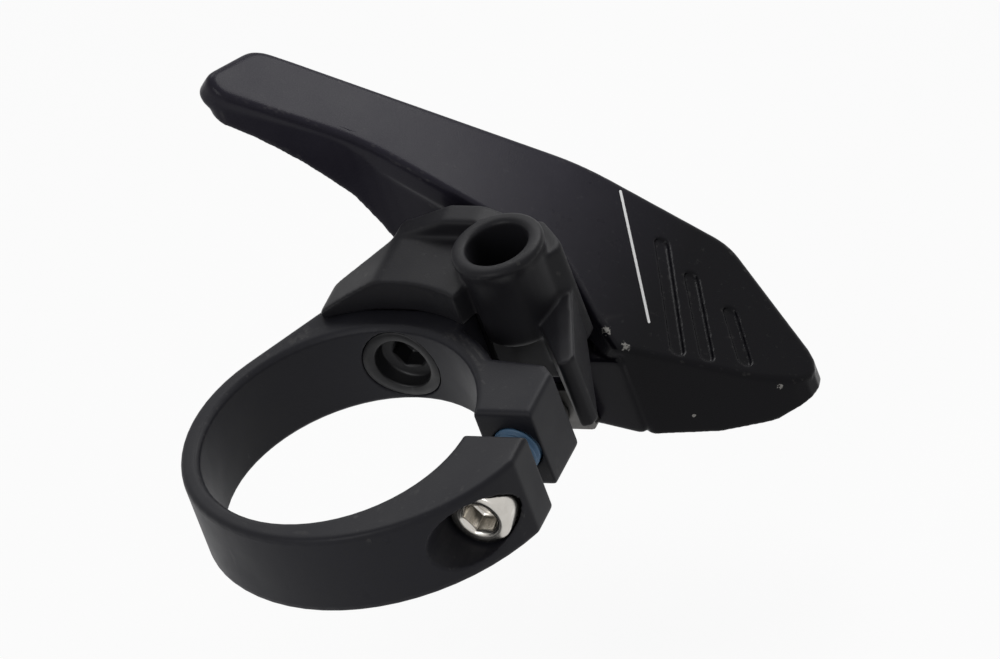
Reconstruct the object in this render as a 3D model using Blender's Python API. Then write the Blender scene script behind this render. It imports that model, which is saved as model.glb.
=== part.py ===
"""Dropper post remote lever for a 22.2 mm handlebar.

A split clamp band grips the handlebar. A bracket with the cable port is screwed to the band from
inside its bore. A forged lever turns on two small ball bearings on a shoulder bolt behind the
bracket, and a pinch screw on the lever holds the inner cable.

Z runs along the handlebar towards the mouth of the cable port, Y runs from the handlebar's centre
through the bracket screw towards the lever, and the clamp bolt is on the +X side.
The origin is on the handlebar's axis, at the middle of the clamp band.
"""

import math

import bmesh
import bpy
from mathutils import Matrix, Vector

MM = 0.001
STEPS = 32
SMALL_STEPS = 24

# Clearances
SEAT_GAP = 0.1
FIT = 0.08
RUNNING = 0.12

# Clamp band
BAR_DIAMETER = 22.2
BAND_WIDTH = 7.5
BAND_WALL = 1.55
BAND_CHAMFER = 0.35
BLEND_ANGLE = 235.9
SEAT_WALL = 2.4
SEAT_HALF = 6.4
LUG_MARGIN = 3.0
LUG_FLAT = 1.28
FAR_LUG_MARGIN = 2.3
FAR_LUG_LENGTH = 5.7
BOLT_CLEARANCE_TO_BAR = 0.5
SPLIT_LOW = -0.55
SPLIT_HIGH = 1.9

# Clamp bolt
BOLT_DIAMETER = 4.0
BOLT_HEAD_DIAMETER = 5.1
BOLT_HEAD_HEIGHT = 2.6
BOLT_SEAT_DEPTH = 3.0
BOLT_KEY = 3.0
HEAD_CLEARANCE = 0.15

# Bracket screw
SCREW_DIAMETER = 4.0
SCREW_HEAD_DIAMETER = 6.4
SCREW_GRIP = 5.0
SCREW_KEY = 2.5
SCREW_RIM = 0.15

# Bracket
BRACKET_DEPTH = 9.8
BRACKET_BEVEL = 0.5
RIB_THICKNESS = 2.2
RIB_SETBACK = 2.8
PORT_X = 9.0
PORT_FORWARD = 2.3
PORT_TOP = 8.75
PORT_LENGTH = 8.2
PORT_DIAMETER = 6.9
PORT_RIM_DIAMETER = 7.6
PORT_RIM = 0.5
FERRULE_DIAMETER = 5.0
FERRULE_DEPTH = 6.2
INNER_CABLE_HOLE = 2.0

# Pivot
PIVOT_X = 2.5
PIVOT_Z = -4.25
LOBE_DIAMETER = 8.6
SPIGOT_DIAMETER = 7.8
SHOULDER_DIAMETER = 5.0
PIVOT_THREAD = 4.0
PIVOT_THREAD_LENGTH = 3.4
PIVOT_HEAD_DIAMETER = 8.6
PIVOT_HEAD_HEIGHT = 1.7
PIVOT_KEY = 3.0
WASHER_DIAMETER = 7.2
WASHER_THICKNESS = 0.8

# Bearings
BEARING_OUTSIDE = 11.0
BEARING_WIDTH = 3.0
BEARING_INNER_LAND = 7.0
BEARING_OUTER_LAND = 9.2
BALL_DIAMETER = 1.6
BALL_COUNT = 9
SHIELD_THICKNESS = 0.25
BEARING_SPACING = 1.6
CIRCLIP_THICKNESS = 0.6

# Return spring
SPRING_WIRE = 0.7
SPRING_TURNS = 4
SPRING_PITCH = 0.86
SPRING_MEAN_DIAMETER = 9.3

# Lever
HUB_DIAMETER = 13.6
LEVER_SLOPE = 0.85
LEVER_TOP = 7.22
PLATE_THICKNESS = 2.5
WALL_THICKNESS = 2.2
WALL_INSET = 0.15
LEVER_GAP = 0.5
LEVER_BEVEL = 0.45
ANCHOR_REACH = 5.4
ANCHOR_DROP = 1.65
ANCHOR_SCREW = 3.0
ANCHOR_HEAD = 3.8
ANCHOR_KEY = 2.0
ANCHOR_PLATE = 0.8
ANCHOR_CABLE_GROOVE = 1.4
GRIP_GROOVE_WIDTH = 0.9
GRIP_GROOVE_DEPTH = 0.3

# Worked out from the driving sizes
BORE_RADIUS = BAR_DIAMETER / 2
BAND_RADIUS = BORE_RADIUS + BAND_WALL
HALF_WIDTH = BAND_WIDTH / 2
SEAT_Y = BORE_RADIUS + SEAT_WALL
SCREW_FACE = BORE_RADIUS + SEAT_GAP
BOLT_X = BORE_RADIUS + BOLT_DIAMETER / 2 + BOLT_CLEARANCE_TO_BAR
NEAR_LUG_FACE = BOLT_X + LUG_MARGIN
BLEND_LEAN = -math.cos(math.radians(BLEND_ANGLE))
LUG_ARC_RADIUS = (NEAR_LUG_FACE + LUG_FLAT + BLEND_LEAN * BAND_RADIUS) / (1 + BLEND_LEAN)
BRACKET_FRONT = SEAT_Y + SEAT_GAP
BRACKET_BACK = BRACKET_FRONT + BRACKET_DEPTH
PORT_Y = SEAT_Y + PORT_FORWARD
PORT_BOTTOM = PORT_TOP - PORT_LENGTH
WEB_FRONT = BRACKET_BACK + LEVER_GAP
PIVOT_TIP = BRACKET_BACK - PIVOT_THREAD_LENGTH
WASHER_FRONT = BRACKET_BACK + FIT
FIRST_BEARING = WASHER_FRONT + WASHER_THICKNESS + FIT
SECOND_BEARING = FIRST_BEARING + BEARING_WIDTH + BEARING_SPACING
BEARING_END = SECOND_BEARING + BEARING_WIDTH
HUB_BACK = BEARING_END + CIRCLIP_THICKNESS + 0.6
CABLE_X = PORT_X
ANCHOR_FACE = WEB_FRONT - ANCHOR_REACH
ANCHOR_Z = PIVOT_Z - LOBE_DIAMETER / 2 - ANCHOR_DROP


def clear_scene():
    for obj in list(bpy.data.objects):
        bpy.data.objects.remove(obj, do_unlink=True)


def make_material(name, color, roughness, metallic):
    material = bpy.data.materials.new(name)
    material.use_nodes = True
    shader = material.node_tree.nodes["Principled BSDF"]
    shader.inputs["Base Color"].default_value = (*color, 1.0)
    shader.inputs["Roughness"].default_value = roughness
    shader.inputs["Metallic"].default_value = metallic
    material.diffuse_color = (*color, 1.0)
    return material


def arc(center, radius, start, end, count):
    """Points of an arc in a plane, from start to end in degrees."""
    points = []
    for i in range(count + 1):
        angle = math.radians(start + (end - start) * i / count)
        points.append((center[0] + radius * math.cos(angle), center[1] + radius * math.sin(angle)))
    return points


def rounded(corners, count=5):
    """A closed outline from corners (x, y, radius), each corner turned by an arc."""
    outline = []
    total = len(corners)
    for i, (x, y, radius) in enumerate(corners):
        here = Vector((x, y))
        before = (Vector(corners[i - 1][:2]) - here).normalized()
        after = (Vector(corners[(i + 1) % total][:2]) - here).normalized()
        if radius <= 0:
            outline.append((x, y))
            continue
        half = before.angle(after) / 2
        reach = radius / math.tan(half)
        middle = here + (before + after).normalized() * (radius / math.sin(half))
        first = here + before * reach - middle
        last = here + after * reach - middle
        turn = first.angle_signed(last)
        for step in range(count + 1):
            angle = -turn * step / count
            spoke = Vector((
                first.x * math.cos(angle) - first.y * math.sin(angle),
                first.x * math.sin(angle) + first.y * math.cos(angle),
            ))
            outline.append(tuple(middle + spoke))
    return outline


def placed(point, low_or_high, along):
    """A point of a flat outline, put in space at a height along Z or Y."""
    if along == "Z":
        return Vector((point[0], point[1], low_or_high)) * MM
    return Vector((point[0], low_or_high, point[1])) * MM


def prism(outline, low, high, along="Z", bevel=0.0, segments=2):
    """A closed outline extruded from low to high along Z (outline in XY) or Y (outline in XZ)."""
    shape = bmesh.new()
    bottom = [shape.verts.new(placed(point, low, along)) for point in outline]
    top = [shape.verts.new(placed(point, high, along)) for point in outline]
    shape.faces.new(bottom)
    shape.faces.new(top)
    count = len(outline)
    for i in range(count):
        after = (i + 1) % count
        shape.faces.new((bottom[i], bottom[after], top[after], top[i]))
    bmesh.ops.recalc_face_normals(shape, faces=shape.faces)
    if bevel > 0:
        rims = [edge for edge in shape.edges if any(len(face.verts) == count for face in edge.link_faces)]
        bmesh.ops.bevel(shape, geom=rims, offset=bevel * MM, segments=segments, profile=0.5,
                        affect="EDGES", clamp_overlap=True)
    return shape


def turned(profile, center, along="Y", steps=STEPS):
    """A profile of (radius, place along the axis) turned round an axis along Y or Z.

    A flat end that the profile closes at radius 0 becomes one face, without a point at its middle.
    """
    flat_start = profile[0][0] == 0 and profile[0][1] == profile[1][1]
    flat_end = profile[-1][0] == 0 and profile[-1][1] == profile[-2][1]
    shape = bmesh.new()
    rings = []
    for radius, place in profile[flat_start:len(profile) - flat_end]:
        ring = []
        for i in range(1 if radius == 0 else steps):
            angle = 2 * math.pi * i / steps
            side = (radius * math.cos(angle), radius * math.sin(angle))
            if along == "Y":
                point = (center[0] + side[0], place, center[1] + side[1])
            else:
                point = (center[0] + side[0], center[1] + side[1], place)
            ring.append(shape.verts.new(Vector(point) * MM))
        rings.append(ring)
    if flat_start:
        shape.faces.new(rings[0])
    if flat_end:
        shape.faces.new(rings[-1])
    closes = profile[0][0] > 0 and profile[-1][0] > 0
    for k in range(len(rings) if closes else len(rings) - 1):
        first = rings[k]
        second = rings[(k + 1) % len(rings)]
        for i in range(steps):
            after = (i + 1) % steps
            corners = [first[i % len(first)], first[after % len(first)],
                       second[after % len(second)], second[i % len(second)]]
            shape.faces.new(list(dict.fromkeys(corners)))
    bmesh.ops.recalc_face_normals(shape, faces=shape.faces)
    return shape


def hexagon(center, across):
    return [
        (center[0] + across / math.sqrt(3) * math.cos(math.radians(60 * i)),
         center[1] + across / math.sqrt(3) * math.sin(math.radians(60 * i)))
        for i in range(6)
    ]


def hull(points):
    shape = bmesh.new()
    for point in points:
        shape.verts.new(Vector(point) * MM)
    bmesh.ops.convex_hull(shape, input=shape.verts)
    loose = [vertex for vertex in shape.verts if not vertex.link_faces]
    bmesh.ops.delete(shape, geom=loose, context="VERTS")
    bmesh.ops.recalc_face_normals(shape, faces=shape.faces)
    return shape


def add(name, shape, material, parent, smooth=True):
    """Makes an object of a shape given in the row's frame and hangs it on its parent empty."""
    mesh = bpy.data.meshes.new(name)
    shape.to_mesh(mesh)
    shape.free()
    obj = bpy.data.objects.new(name, mesh)
    bpy.context.scene.collection.objects.link(obj)
    if parent is not None:
        mesh.transform(parent.matrix_world.inverted())
        obj.parent = parent
    mesh.materials.append(material)
    if smooth:
        mesh.shade_smooth()
        mesh.set_sharp_from_angle(angle=math.radians(32))
    return obj


def change(obj, operation, name, shape, parent):
    """Adds a Boolean to obj with a helper that stays out of the render."""
    helper = add(name, shape, obj.data.materials[0], parent, smooth=False)
    helper.hide_render = True
    helper.display_type = "WIRE"
    modifier = obj.modifiers.new(name, "BOOLEAN")
    modifier.operation = operation
    modifier.solver = "EXACT"
    modifier.object = helper


def pivot_point():
    return (PIVOT_X, PIVOT_Z)


def lug_center():
    """Centre of the outer arc that leaves the band tangentially and thickens it towards the near lug."""
    away = math.radians(BLEND_ANGLE)
    shift = LUG_ARC_RADIUS - BAND_RADIUS
    return -math.cos(away) * shift, -math.sin(away) * shift


def band_outline():
    """Outline of the clamp band with its split, anticlockwise from the near lug's gap face."""
    center = lug_center()
    corner = math.hypot(SEAT_HALF, SEAT_Y)
    corner_angle = math.degrees(math.atan2(SEAT_Y, -SEAT_HALF))
    tangent = corner_angle + math.degrees(math.acos(BAND_RADIUS / corner))
    near_face = NEAR_LUG_FACE
    lug_end = 360 - math.degrees(math.acos((near_face - center[0]) / LUG_ARC_RADIUS))
    face_x = BOLT_X + FAR_LUG_MARGIN
    end_y = SPLIT_HIGH + FAR_LUG_LENGTH
    shoulder = BAND_RADIUS + 0.3
    inside = BORE_RADIUS - 3
    outline = [(inside, SPLIT_LOW), (inside, SPLIT_HIGH), (face_x, SPLIT_HIGH), (face_x, end_y - 1.0),
               (face_x - 1.0, end_y)]
    shoulder_start = math.degrees(math.asin((end_y + 0.55) / shoulder))
    shoulder_end = math.degrees(math.acos(SEAT_HALF / shoulder))
    outline += arc((0, 0), shoulder, shoulder_start, shoulder_end, 4)
    outline += [(SEAT_HALF, SEAT_Y), (-SEAT_HALF, SEAT_Y)]
    outline += arc((0, 0), BAND_RADIUS, tangent, BLEND_ANGLE, 16)
    outline += arc(center, LUG_ARC_RADIUS, BLEND_ANGLE, lug_end, 18)[1:]
    outline += [(near_face, SPLIT_LOW)]
    return outline


def make_clamp_band(material, parent):
    band = add("clamp_band", prism(band_outline(), -HALF_WIDTH, HALF_WIDTH, bevel=BAND_CHAMFER),
               material, parent)
    chamfer = BAND_CHAMFER
    bore = [
        (0, HALF_WIDTH + 1), (BORE_RADIUS + chamfer + 1, HALF_WIDTH + 1),
        (BORE_RADIUS, HALF_WIDTH - chamfer), (BORE_RADIUS, -HALF_WIDTH + chamfer),
        (BORE_RADIUS + chamfer + 1, -HALF_WIDTH - 1), (0, -HALF_WIDTH - 1),
    ]
    change(band, "DIFFERENCE", "cut_bore", turned(bore, (0, 0), "Z", 64), parent)
    seat = SPLIT_LOW - BOLT_SEAT_DEPTH
    head_radius = BOLT_HEAD_DIAMETER / 2 + HEAD_CLEARANCE
    thread_radius = BOLT_DIAMETER / 2 + FIT
    bolt_hole = [
        (0, -BORE_RADIUS), (head_radius, -BORE_RADIUS), (head_radius, seat),
        (thread_radius, seat), (thread_radius, SPLIT_HIGH + FAR_LUG_LENGTH + 1),
        (0, SPLIT_HIGH + FAR_LUG_LENGTH + 1),
    ]
    change(band, "DIFFERENCE", "cut_bolt", turned(bolt_hole, (BOLT_X, 0), "Y", SMALL_STEPS), parent)
    sink = SCREW_HEAD_DIAMETER / 2 + FIT
    shank = SCREW_DIAMETER / 2 + FIT
    sink_start = SCREW_FACE + SCREW_RIM
    screw_hole = [
        (0, BORE_RADIUS - 3), (sink, BORE_RADIUS - 3), (sink, sink_start),
        (shank, sink_start + sink - shank), (shank, SEAT_Y + 1), (0, SEAT_Y + 1),
    ]
    change(band, "DIFFERENCE", "cut_screw", turned(screw_hole, (0, 0), "Y", SMALL_STEPS), parent)


def make_clamp_bolt(material, parent):
    seat = SPLIT_LOW - BOLT_SEAT_DEPTH - FIT
    radius = BOLT_DIAMETER / 2
    head = BOLT_HEAD_DIAMETER / 2
    top = seat - BOLT_HEAD_HEIGHT
    end = SPLIT_HIGH + FAR_LUG_LENGTH - 0.4
    profile = [(0, top), (head - 0.4, top), (head, top + 0.4), (head, seat), (radius, seat),
               (radius, end - 0.5), (radius - 0.5, end), (0, end)]
    bolt = add("clamp_bolt", turned(profile, (BOLT_X, 0), "Y", SMALL_STEPS), material, parent)
    socket = prism(hexagon((BOLT_X, 0), BOLT_KEY), top - 1, top + 1.9, "Y")
    change(bolt, "DIFFERENCE", "cut_bolt_key", socket, parent)


def make_bracket_screw(material, parent):
    """Countersunk screw whose face lies just inside the bore's wall."""
    head = SCREW_HEAD_DIAMETER / 2
    shank = SCREW_DIAMETER / 2
    face = SCREW_FACE
    end = BRACKET_FRONT + SCREW_GRIP - 0.5
    profile = [(0, face), (head, face), (head, face + SCREW_RIM), (shank, face + SCREW_RIM + head - shank),
               (shank, end - 0.4), (shank - 0.4, end), (0, end)]
    screw = add("bracket_screw", turned(profile, (0, 0), "Y", SMALL_STEPS), material, parent)
    socket = prism(hexagon((0, 0), SCREW_KEY), face - 1, face + 1.5, "Y")
    change(screw, "DIFFERENCE", "cut_screw_key", socket, parent)


def bracket_side():
    """Side outline of the bracket's body in X and Z, from the nose over the top to the port."""
    top = HALF_WIDTH
    return rounded([
        (-SEAT_HALF, -HALF_WIDTH, 0.6), (-SEAT_HALF, top + 0.7, 1.2), (-1.2, top + 3.0, 3.0),
        (PORT_X + 4.4, top + 3.1, 1.0), (PORT_X + 4.4, -1.8, 1.0), (PORT_X + 2.4, -HALF_WIDTH, 1.0),
    ])


def bracket_plan():
    """Plan outline of the bracket: it follows the band in front and leaves room for the lever's notch."""
    inner = BAND_RADIUS + 0.45
    back = BRACKET_BACK
    start = math.degrees(math.acos(-(SEAT_HALF - 0.45) / inner))
    end = math.degrees(math.acos((PORT_X - 2.65) / inner))
    front = arc((0, 0), inner, start, end, 10)
    corners = rounded([
        (PORT_X - 1.8, PORT_Y - 2.4, 0.3), (PORT_X - 1.0, PORT_Y - 1.7, 0.3), (PORT_X + 2.4, PORT_Y - 1.7, 0.5),
        (PORT_X + 4.3, PORT_Y + 2.2, 0.8), (PORT_X - 1.4, back, 0.5), (-0.9, back, 0.8), (-1.9, 18.4, 1.0),
        (-SEAT_HALF - 0.1, BRACKET_FRONT + 1.2, 0.6), (-SEAT_HALF - 0.1, BRACKET_FRONT - 1.6, 0.4),
    ], 3)
    return front + corners


def make_bracket(material, parent):
    body = prism(bracket_side(), BORE_RADIUS - 3.5, BRACKET_BACK, "Y", bevel=BRACKET_BEVEL)
    bracket = add("bracket", body, material, parent)
    plan = prism(bracket_plan(), -HALF_WIDTH - 4, HALF_WIDTH + 8)
    change(bracket, "INTERSECT", "keep_plan", plan, parent)
    lobe = [(0, BRACKET_FRONT + 2.4), (LOBE_DIAMETER / 2, BRACKET_FRONT + 2.4),
            (LOBE_DIAMETER / 2, BRACKET_BACK), (0, BRACKET_BACK)]
    change(bracket, "UNION", "join_lobe", turned(lobe, pivot_point(), "Y"), parent)
    top = HALF_WIDTH
    rib = rounded([
        (-1.9, top + 1.0, 0.0), (-1.9, top + 2.7, 0.5), (3.1, top + 4.7, 1.0), (PORT_X - 3.0, top + 4.7, 1.5),
        (PORT_X + 1.0, top + 2.8, 0.5), (PORT_X + 1.0, top + 1.0, 0.0),
    ], 3)
    ledge = BRACKET_BACK - RIB_SETBACK
    behind = [(-4.0, ledge), (PORT_X + 6.0, ledge),
              (PORT_X + 6.0, BRACKET_BACK + 1.0), (-4.0, BRACKET_BACK + 1.0)]
    change(bracket, "DIFFERENCE", "cut_behind_rib", prism(behind, top + 1.0, PORT_TOP + 2.0), parent)
    rib_shape = prism(rib, ledge - 0.1 - RIB_THICKNESS, ledge - 0.1, "Y", bevel=0.3)
    change(bracket, "UNION", "join_rib", rib_shape, parent)
    barrel = PORT_DIAMETER / 2
    radius = PORT_RIM_DIAMETER / 2
    rim = PORT_RIM
    port = [(0, PORT_BOTTOM), (barrel - 0.5, PORT_BOTTOM), (barrel, PORT_BOTTOM + 0.5),
            (barrel, PORT_TOP - 2 * rim - 0.5), (barrel + 0.08, PORT_TOP - 2 * rim - 0.2)]
    port += [(radius - rim + rim * math.cos(a), PORT_TOP - rim + rim * math.sin(a))
             for a in (-math.pi / 4, 0, math.pi / 8, math.pi / 4, 3 * math.pi / 8)]
    port += [(radius - rim, PORT_TOP), (0, PORT_TOP)]
    change(bracket, "UNION", "join_port", turned(port, (PORT_X, PORT_Y), "Z"), parent)
    far_face = BOLT_X + FAR_LUG_MARGIN
    finger = SPLIT_HIGH + FAR_LUG_LENGTH + 0.9
    arm = hull([
        (PORT_X + 2.2, PORT_Y - 1.7, 2.2), (PORT_X + 3.9, PORT_Y + 1.8, 2.8),
        (PORT_X + 2.4, PORT_Y + 2.2, 2.8), (PORT_X + 2.0, PORT_Y - 1.5, -1.7),
        (PORT_X + 3.7, PORT_Y + 1.9, -1.7), (PORT_X + 2.4, PORT_Y + 2.2, -1.7),
        (far_face - 0.5, finger, 2.9), (far_face + 0.3, finger + 0.3, 2.9), (far_face + 0.5, finger + 1.1, 2.9),
        (far_face - 0.9, finger + 1.2, 2.6), (far_face - 0.5, finger, -HALF_WIDTH),
        (far_face + 0.3, finger + 0.3, -HALF_WIDTH), (far_face + 0.5, finger + 1.1, -HALF_WIDTH),
        (far_face - 0.9, finger + 1.2, -HALF_WIDTH),
    ])
    change(bracket, "UNION", "join_arm", arm, parent)
    under = [(-SEAT_HALF - 2, BORE_RADIUS - 5), (SEAT_HALF + 0.6, BORE_RADIUS - 5),
             (SEAT_HALF + 0.6, BRACKET_FRONT), (-SEAT_HALF - 2, BRACKET_FRONT)]
    change(bracket, "DIFFERENCE", "cut_seat", prism(under, -HALF_WIDTH - 2, HALF_WIDTH + SEAT_GAP), parent)
    bore = FERRULE_DIAMETER / 2
    hole = INNER_CABLE_HOLE / 2
    step = PORT_TOP - FERRULE_DEPTH
    cable_way = [(0, -HALF_WIDTH - 2), (hole, -HALF_WIDTH - 2), (hole, step - 0.8), (bore, step),
                 (bore, PORT_TOP - 0.25), (bore + 0.75, PORT_TOP + 0.5), (0, PORT_TOP + 0.5)]
    cable_shape = turned(cable_way, (PORT_X, PORT_Y), "Z", SMALL_STEPS)
    change(bracket, "DIFFERENCE", "cut_cable_way", cable_shape, parent)
    thread = SCREW_DIAMETER / 2 + FIT
    screw_hole = [(0, BRACKET_FRONT - 1), (thread, BRACKET_FRONT - 1),
                  (thread, BRACKET_FRONT + SCREW_GRIP - 0.4), (0, BRACKET_FRONT + SCREW_GRIP + 0.6)]
    change(bracket, "DIFFERENCE", "cut_screw_thread", turned(screw_hole, (0, 0), "Y", SMALL_STEPS), parent)
    spigot = SPIGOT_DIAMETER / 2
    pocket = SPRING_MEAN_DIAMETER / 2 + SPRING_WIRE + 0.25
    pocket_floor = BRACKET_BACK - SPRING_TURNS * SPRING_PITCH - SPRING_WIRE
    groove = [(spigot, BRACKET_BACK + 1), (pocket, BRACKET_BACK + 1),
              (pocket, pocket_floor), (spigot, pocket_floor)]
    change(bracket, "DIFFERENCE", "cut_spring_pocket", turned(groove, pivot_point(), "Y"), parent)
    tap = PIVOT_THREAD / 2 + FIT
    drilled = PIVOT_TIP - 0.2
    pivot_hole = [(0, BRACKET_BACK + 1), (tap, BRACKET_BACK + 1), (tap, drilled), (0, drilled - 0.8)]
    pivot_shape = turned(pivot_hole, pivot_point(), "Y", SMALL_STEPS)
    change(bracket, "DIFFERENCE", "cut_pivot_thread", pivot_shape, parent)


def make_bearing(number, front, material, shield_material, pivot, lever):
    """Inner race, caged balls, outer race and two shields of one cartridge bearing."""
    center = pivot_point()
    back = front + BEARING_WIDTH
    middle = (front + back) / 2
    bore = SHOULDER_DIAMETER / 2 + FIT
    inner = BEARING_INNER_LAND / 2
    outer = BEARING_OUTER_LAND / 2
    rim = BEARING_OUTSIDE / 2
    ball = BALL_DIAMETER / 2
    pitch = (inner + outer) / 2
    groove = ball + 0.06
    half_chord = math.sqrt(groove ** 2 - (pitch - inner) ** 2)
    angles = [math.asin(half_chord / groove) * (1 - i / 2) for i in range(5)]
    inner_groove = [(pitch - groove * math.cos(a), middle - groove * math.sin(a)) for a in angles]
    outer_groove = [(pitch + groove * math.cos(a), middle - groove * math.sin(a)) for a in angles]
    race = [(bore, front), (inner, front)] + inner_groove + [(inner, back), (bore, back)]
    add(f"bearing_{number}_inner_race", turned(race, center), material, pivot)
    race = [(rim, front), (outer, front)] + outer_groove + [(outer, back), (rim, back)]
    add(f"bearing_{number}_outer_race", turned(race, center), material, lever)
    cage = [(pitch - 0.22, middle - 0.35), (pitch + 0.22, middle - 0.35),
            (pitch + 0.22, middle + 0.35), (pitch - 0.22, middle + 0.35)]
    caged = add(f"bearing_{number}_ball_cage", turned(cage, center), material, pivot)
    for i in range(BALL_COUNT):
        angle = 2 * math.pi * i / BALL_COUNT
        shape = bmesh.new()
        bmesh.ops.create_uvsphere(shape, u_segments=8, v_segments=5, radius=ball * MM)
        spot = Vector((center[0] + pitch * math.cos(angle), middle, center[1] + pitch * math.sin(angle))) * MM
        bmesh.ops.translate(shape, verts=shape.verts, vec=spot)
        change(caged, "UNION", f"join_ball_{number}_{i + 1}", shape, pivot)
    for side, place in (("front", front + 0.05), ("back", back - 0.05 - SHIELD_THICKNESS)):
        ring = [(inner + RUNNING, place), (outer - FIT, place),
                (outer - FIT, place + SHIELD_THICKNESS), (inner + RUNNING, place + SHIELD_THICKNESS)]
        add(f"bearing_{number}_{side}_shield", turned(ring, center), shield_material, lever)


def make_pivot(steel, dark_steel, parent):
    center = pivot_point()
    shoulder = SHOULDER_DIAMETER / 2
    washer_back = WASHER_FRONT + WASHER_THICKNESS
    washer = [(shoulder + FIT, WASHER_FRONT), (WASHER_DIAMETER / 2, WASHER_FRONT),
              (WASHER_DIAMETER / 2, washer_back), (shoulder + FIT, washer_back)]
    add("pivot_washer", turned(washer, center), steel, parent)
    start = FIRST_BEARING + BEARING_WIDTH + FIT
    end = SECOND_BEARING - FIT
    sleeve = [(shoulder + FIT, start), (BEARING_INNER_LAND / 2, start), (BEARING_INNER_LAND / 2, end),
              (shoulder + FIT, end)]
    add("bearing_spacer", turned(sleeve, center), steel, parent)
    under = BEARING_END + FIT
    top = under + PIVOT_HEAD_HEIGHT
    head = PIVOT_HEAD_DIAMETER / 2
    flange = BEARING_INNER_LAND / 2
    thread = PIVOT_THREAD / 2
    tip = PIVOT_TIP
    profile = [(0, top), (head - 0.5, top), (head, top - 0.5), (head, under + 0.3), (flange, under + 0.3),
               (flange, under), (shoulder, under), (shoulder, BRACKET_BACK + FIT), (thread, BRACKET_BACK + FIT),
               (thread, tip + 0.3), (thread - 0.3, tip), (0, tip)]
    bolt = add("pivot_bolt", turned(profile, center), dark_steel, parent)
    socket = prism(hexagon(center, PIVOT_KEY), top - 1.2, top + 1, "Y")
    change(bolt, "DIFFERENCE", "cut_pivot_key", socket, parent)


def make_circlip(material, parent):
    """Internal retaining ring behind the second bearing, open at one side with two eyes."""
    center = pivot_point()
    outside = BEARING_OUTSIDE / 2 + 0.35
    inside = BEARING_OUTSIDE / 2 - 0.45
    front = BEARING_END + FIT
    open_half = 14
    outline = [(center[0] + x, center[1] + z) for x, z in arc((0, 0), outside, open_half, 360 - open_half, 32)]
    eye = 0.75
    outline += [(center[0] + (inside - eye + 0.3) * math.cos(math.radians(a)),
                 center[1] + (inside - eye + 0.3) * math.sin(math.radians(a)))
                for a in (360 - open_half, 340 - open_half)]
    outline += [(center[0] + x, center[1] + z)
                for x, z in arc((0, 0), inside, 336 - open_half, open_half + 24, 28)]
    outline += [(center[0] + (inside - eye + 0.3) * math.cos(math.radians(a)),
                 center[1] + (inside - eye + 0.3) * math.sin(math.radians(a)))
                for a in (20 + open_half, open_half)]
    add("bearing_circlip", prism(outline, front, front + CIRCLIP_THICKNESS, "Y"), material, parent)


def spring_path():
    """Centre line of the return spring's coil, wound round the pivot from the pocket's floor outwards."""
    radius = SPRING_MEAN_DIAMETER / 2
    first = BRACKET_BACK - SPRING_TURNS * SPRING_PITCH - SPRING_WIRE / 2 + 0.15
    start = math.radians(120)
    sweep = 2 * math.pi * (SPRING_TURNS - 0.62)
    count = 16 * SPRING_TURNS
    points = []
    rise = 0.86 * SPRING_PITCH * SPRING_TURNS
    for i in range(count + 1):
        angle = start - sweep * i / count
        points.append((PIVOT_X + radius * math.cos(angle), first + rise * i / count,
                       PIVOT_Z + radius * math.sin(angle)))
    return points


def make_spring(material, parent):
    curve = bpy.data.curves.new("return_spring", "CURVE")
    curve.dimensions = "3D"
    curve.bevel_depth = SPRING_WIRE / 2 * MM
    curve.bevel_resolution = 1
    curve.use_fill_caps = True
    route = spring_path()
    spline = curve.splines.new("POLY")
    spline.points.add(len(route) - 1)
    move = parent.matrix_world.inverted()
    for point, spot in zip(spline.points, route):
        point.co = (*(move @ (Vector(spot) * MM)), 1)
    obj = bpy.data.objects.new("return_spring", curve)
    obj.parent = parent
    curve.materials.append(material)
    bpy.context.scene.collection.objects.link(obj)


def lever_top(x):
    return LEVER_TOP - LEVER_SLOPE * x


def near_edge():
    """The lever's near edge in plan, from the left tip to the paddle's tip."""
    return [
        (-15.8, WEB_FRONT - 4.0, 1.3), (-5.0, WEB_FRONT + 0.05, 14.0),
        (PORT_X - 0.6, WEB_FRONT + 0.3, 1.2), (PORT_X + 3.0, WEB_FRONT - 3.5, 0),
        (PORT_X + 5.0, WEB_FRONT - 5.2, 0.5), (22.0, WEB_FRONT - 0.7, 4.0),
    ]


def far_edge():
    return [
        (26.6, WEB_FRONT + 3.1, 2.4), (17.0, WEB_FRONT + 10.2, 3.0), (7.0, WEB_FRONT + 9.7, 14.0),
        (-13.3, WEB_FRONT + 2.95, 2.2),
    ]


def moved_left(points, distance, radius_share):
    """A line of corners (x, y, radius) moved to its left side, with its corners mitred."""
    sides = []
    for (x0, y0, _), (x1, y1, _) in zip(points, points[1:]):
        length = math.hypot(x1 - x0, y1 - y0)
        sides.append(Vector((y0 - y1, x1 - x0)) / length)
    line = []
    for i, (x, y, radius) in enumerate(points):
        before = sides[max(i - 1, 0)]
        after = sides[min(i, len(sides) - 1)]
        shift = (before + after) * distance / (1 + before.dot(after))
        line.append((x + shift.x, y + shift.y, radius * radius_share))
    return line


def wall_plan():
    """Plan outline of the wall under the lever's near edge, which turns round both of its tips."""
    right_tip, behind_tip = far_edge()[:2]
    edge = [(-15.0, WEB_FRONT + 1.2, 0), (-16.2, WEB_FRONT - 3.95, 1.0)] + near_edge()[1:]
    edge += [right_tip, part_way(right_tip, behind_tip, 0.4)]
    outer = moved_left(edge, WALL_INSET, 1.0)
    inner = moved_left(edge, WALL_INSET + WALL_THICKNESS, 0.5)
    return rounded(outer + inner[::-1], 4)


def part_way(start, end, share):
    """A sharp corner at a share of the way from one corner to another."""
    return start[0] + share * (end[0] - start[0]), start[1] + share * (end[1] - start[1]), 0


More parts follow.
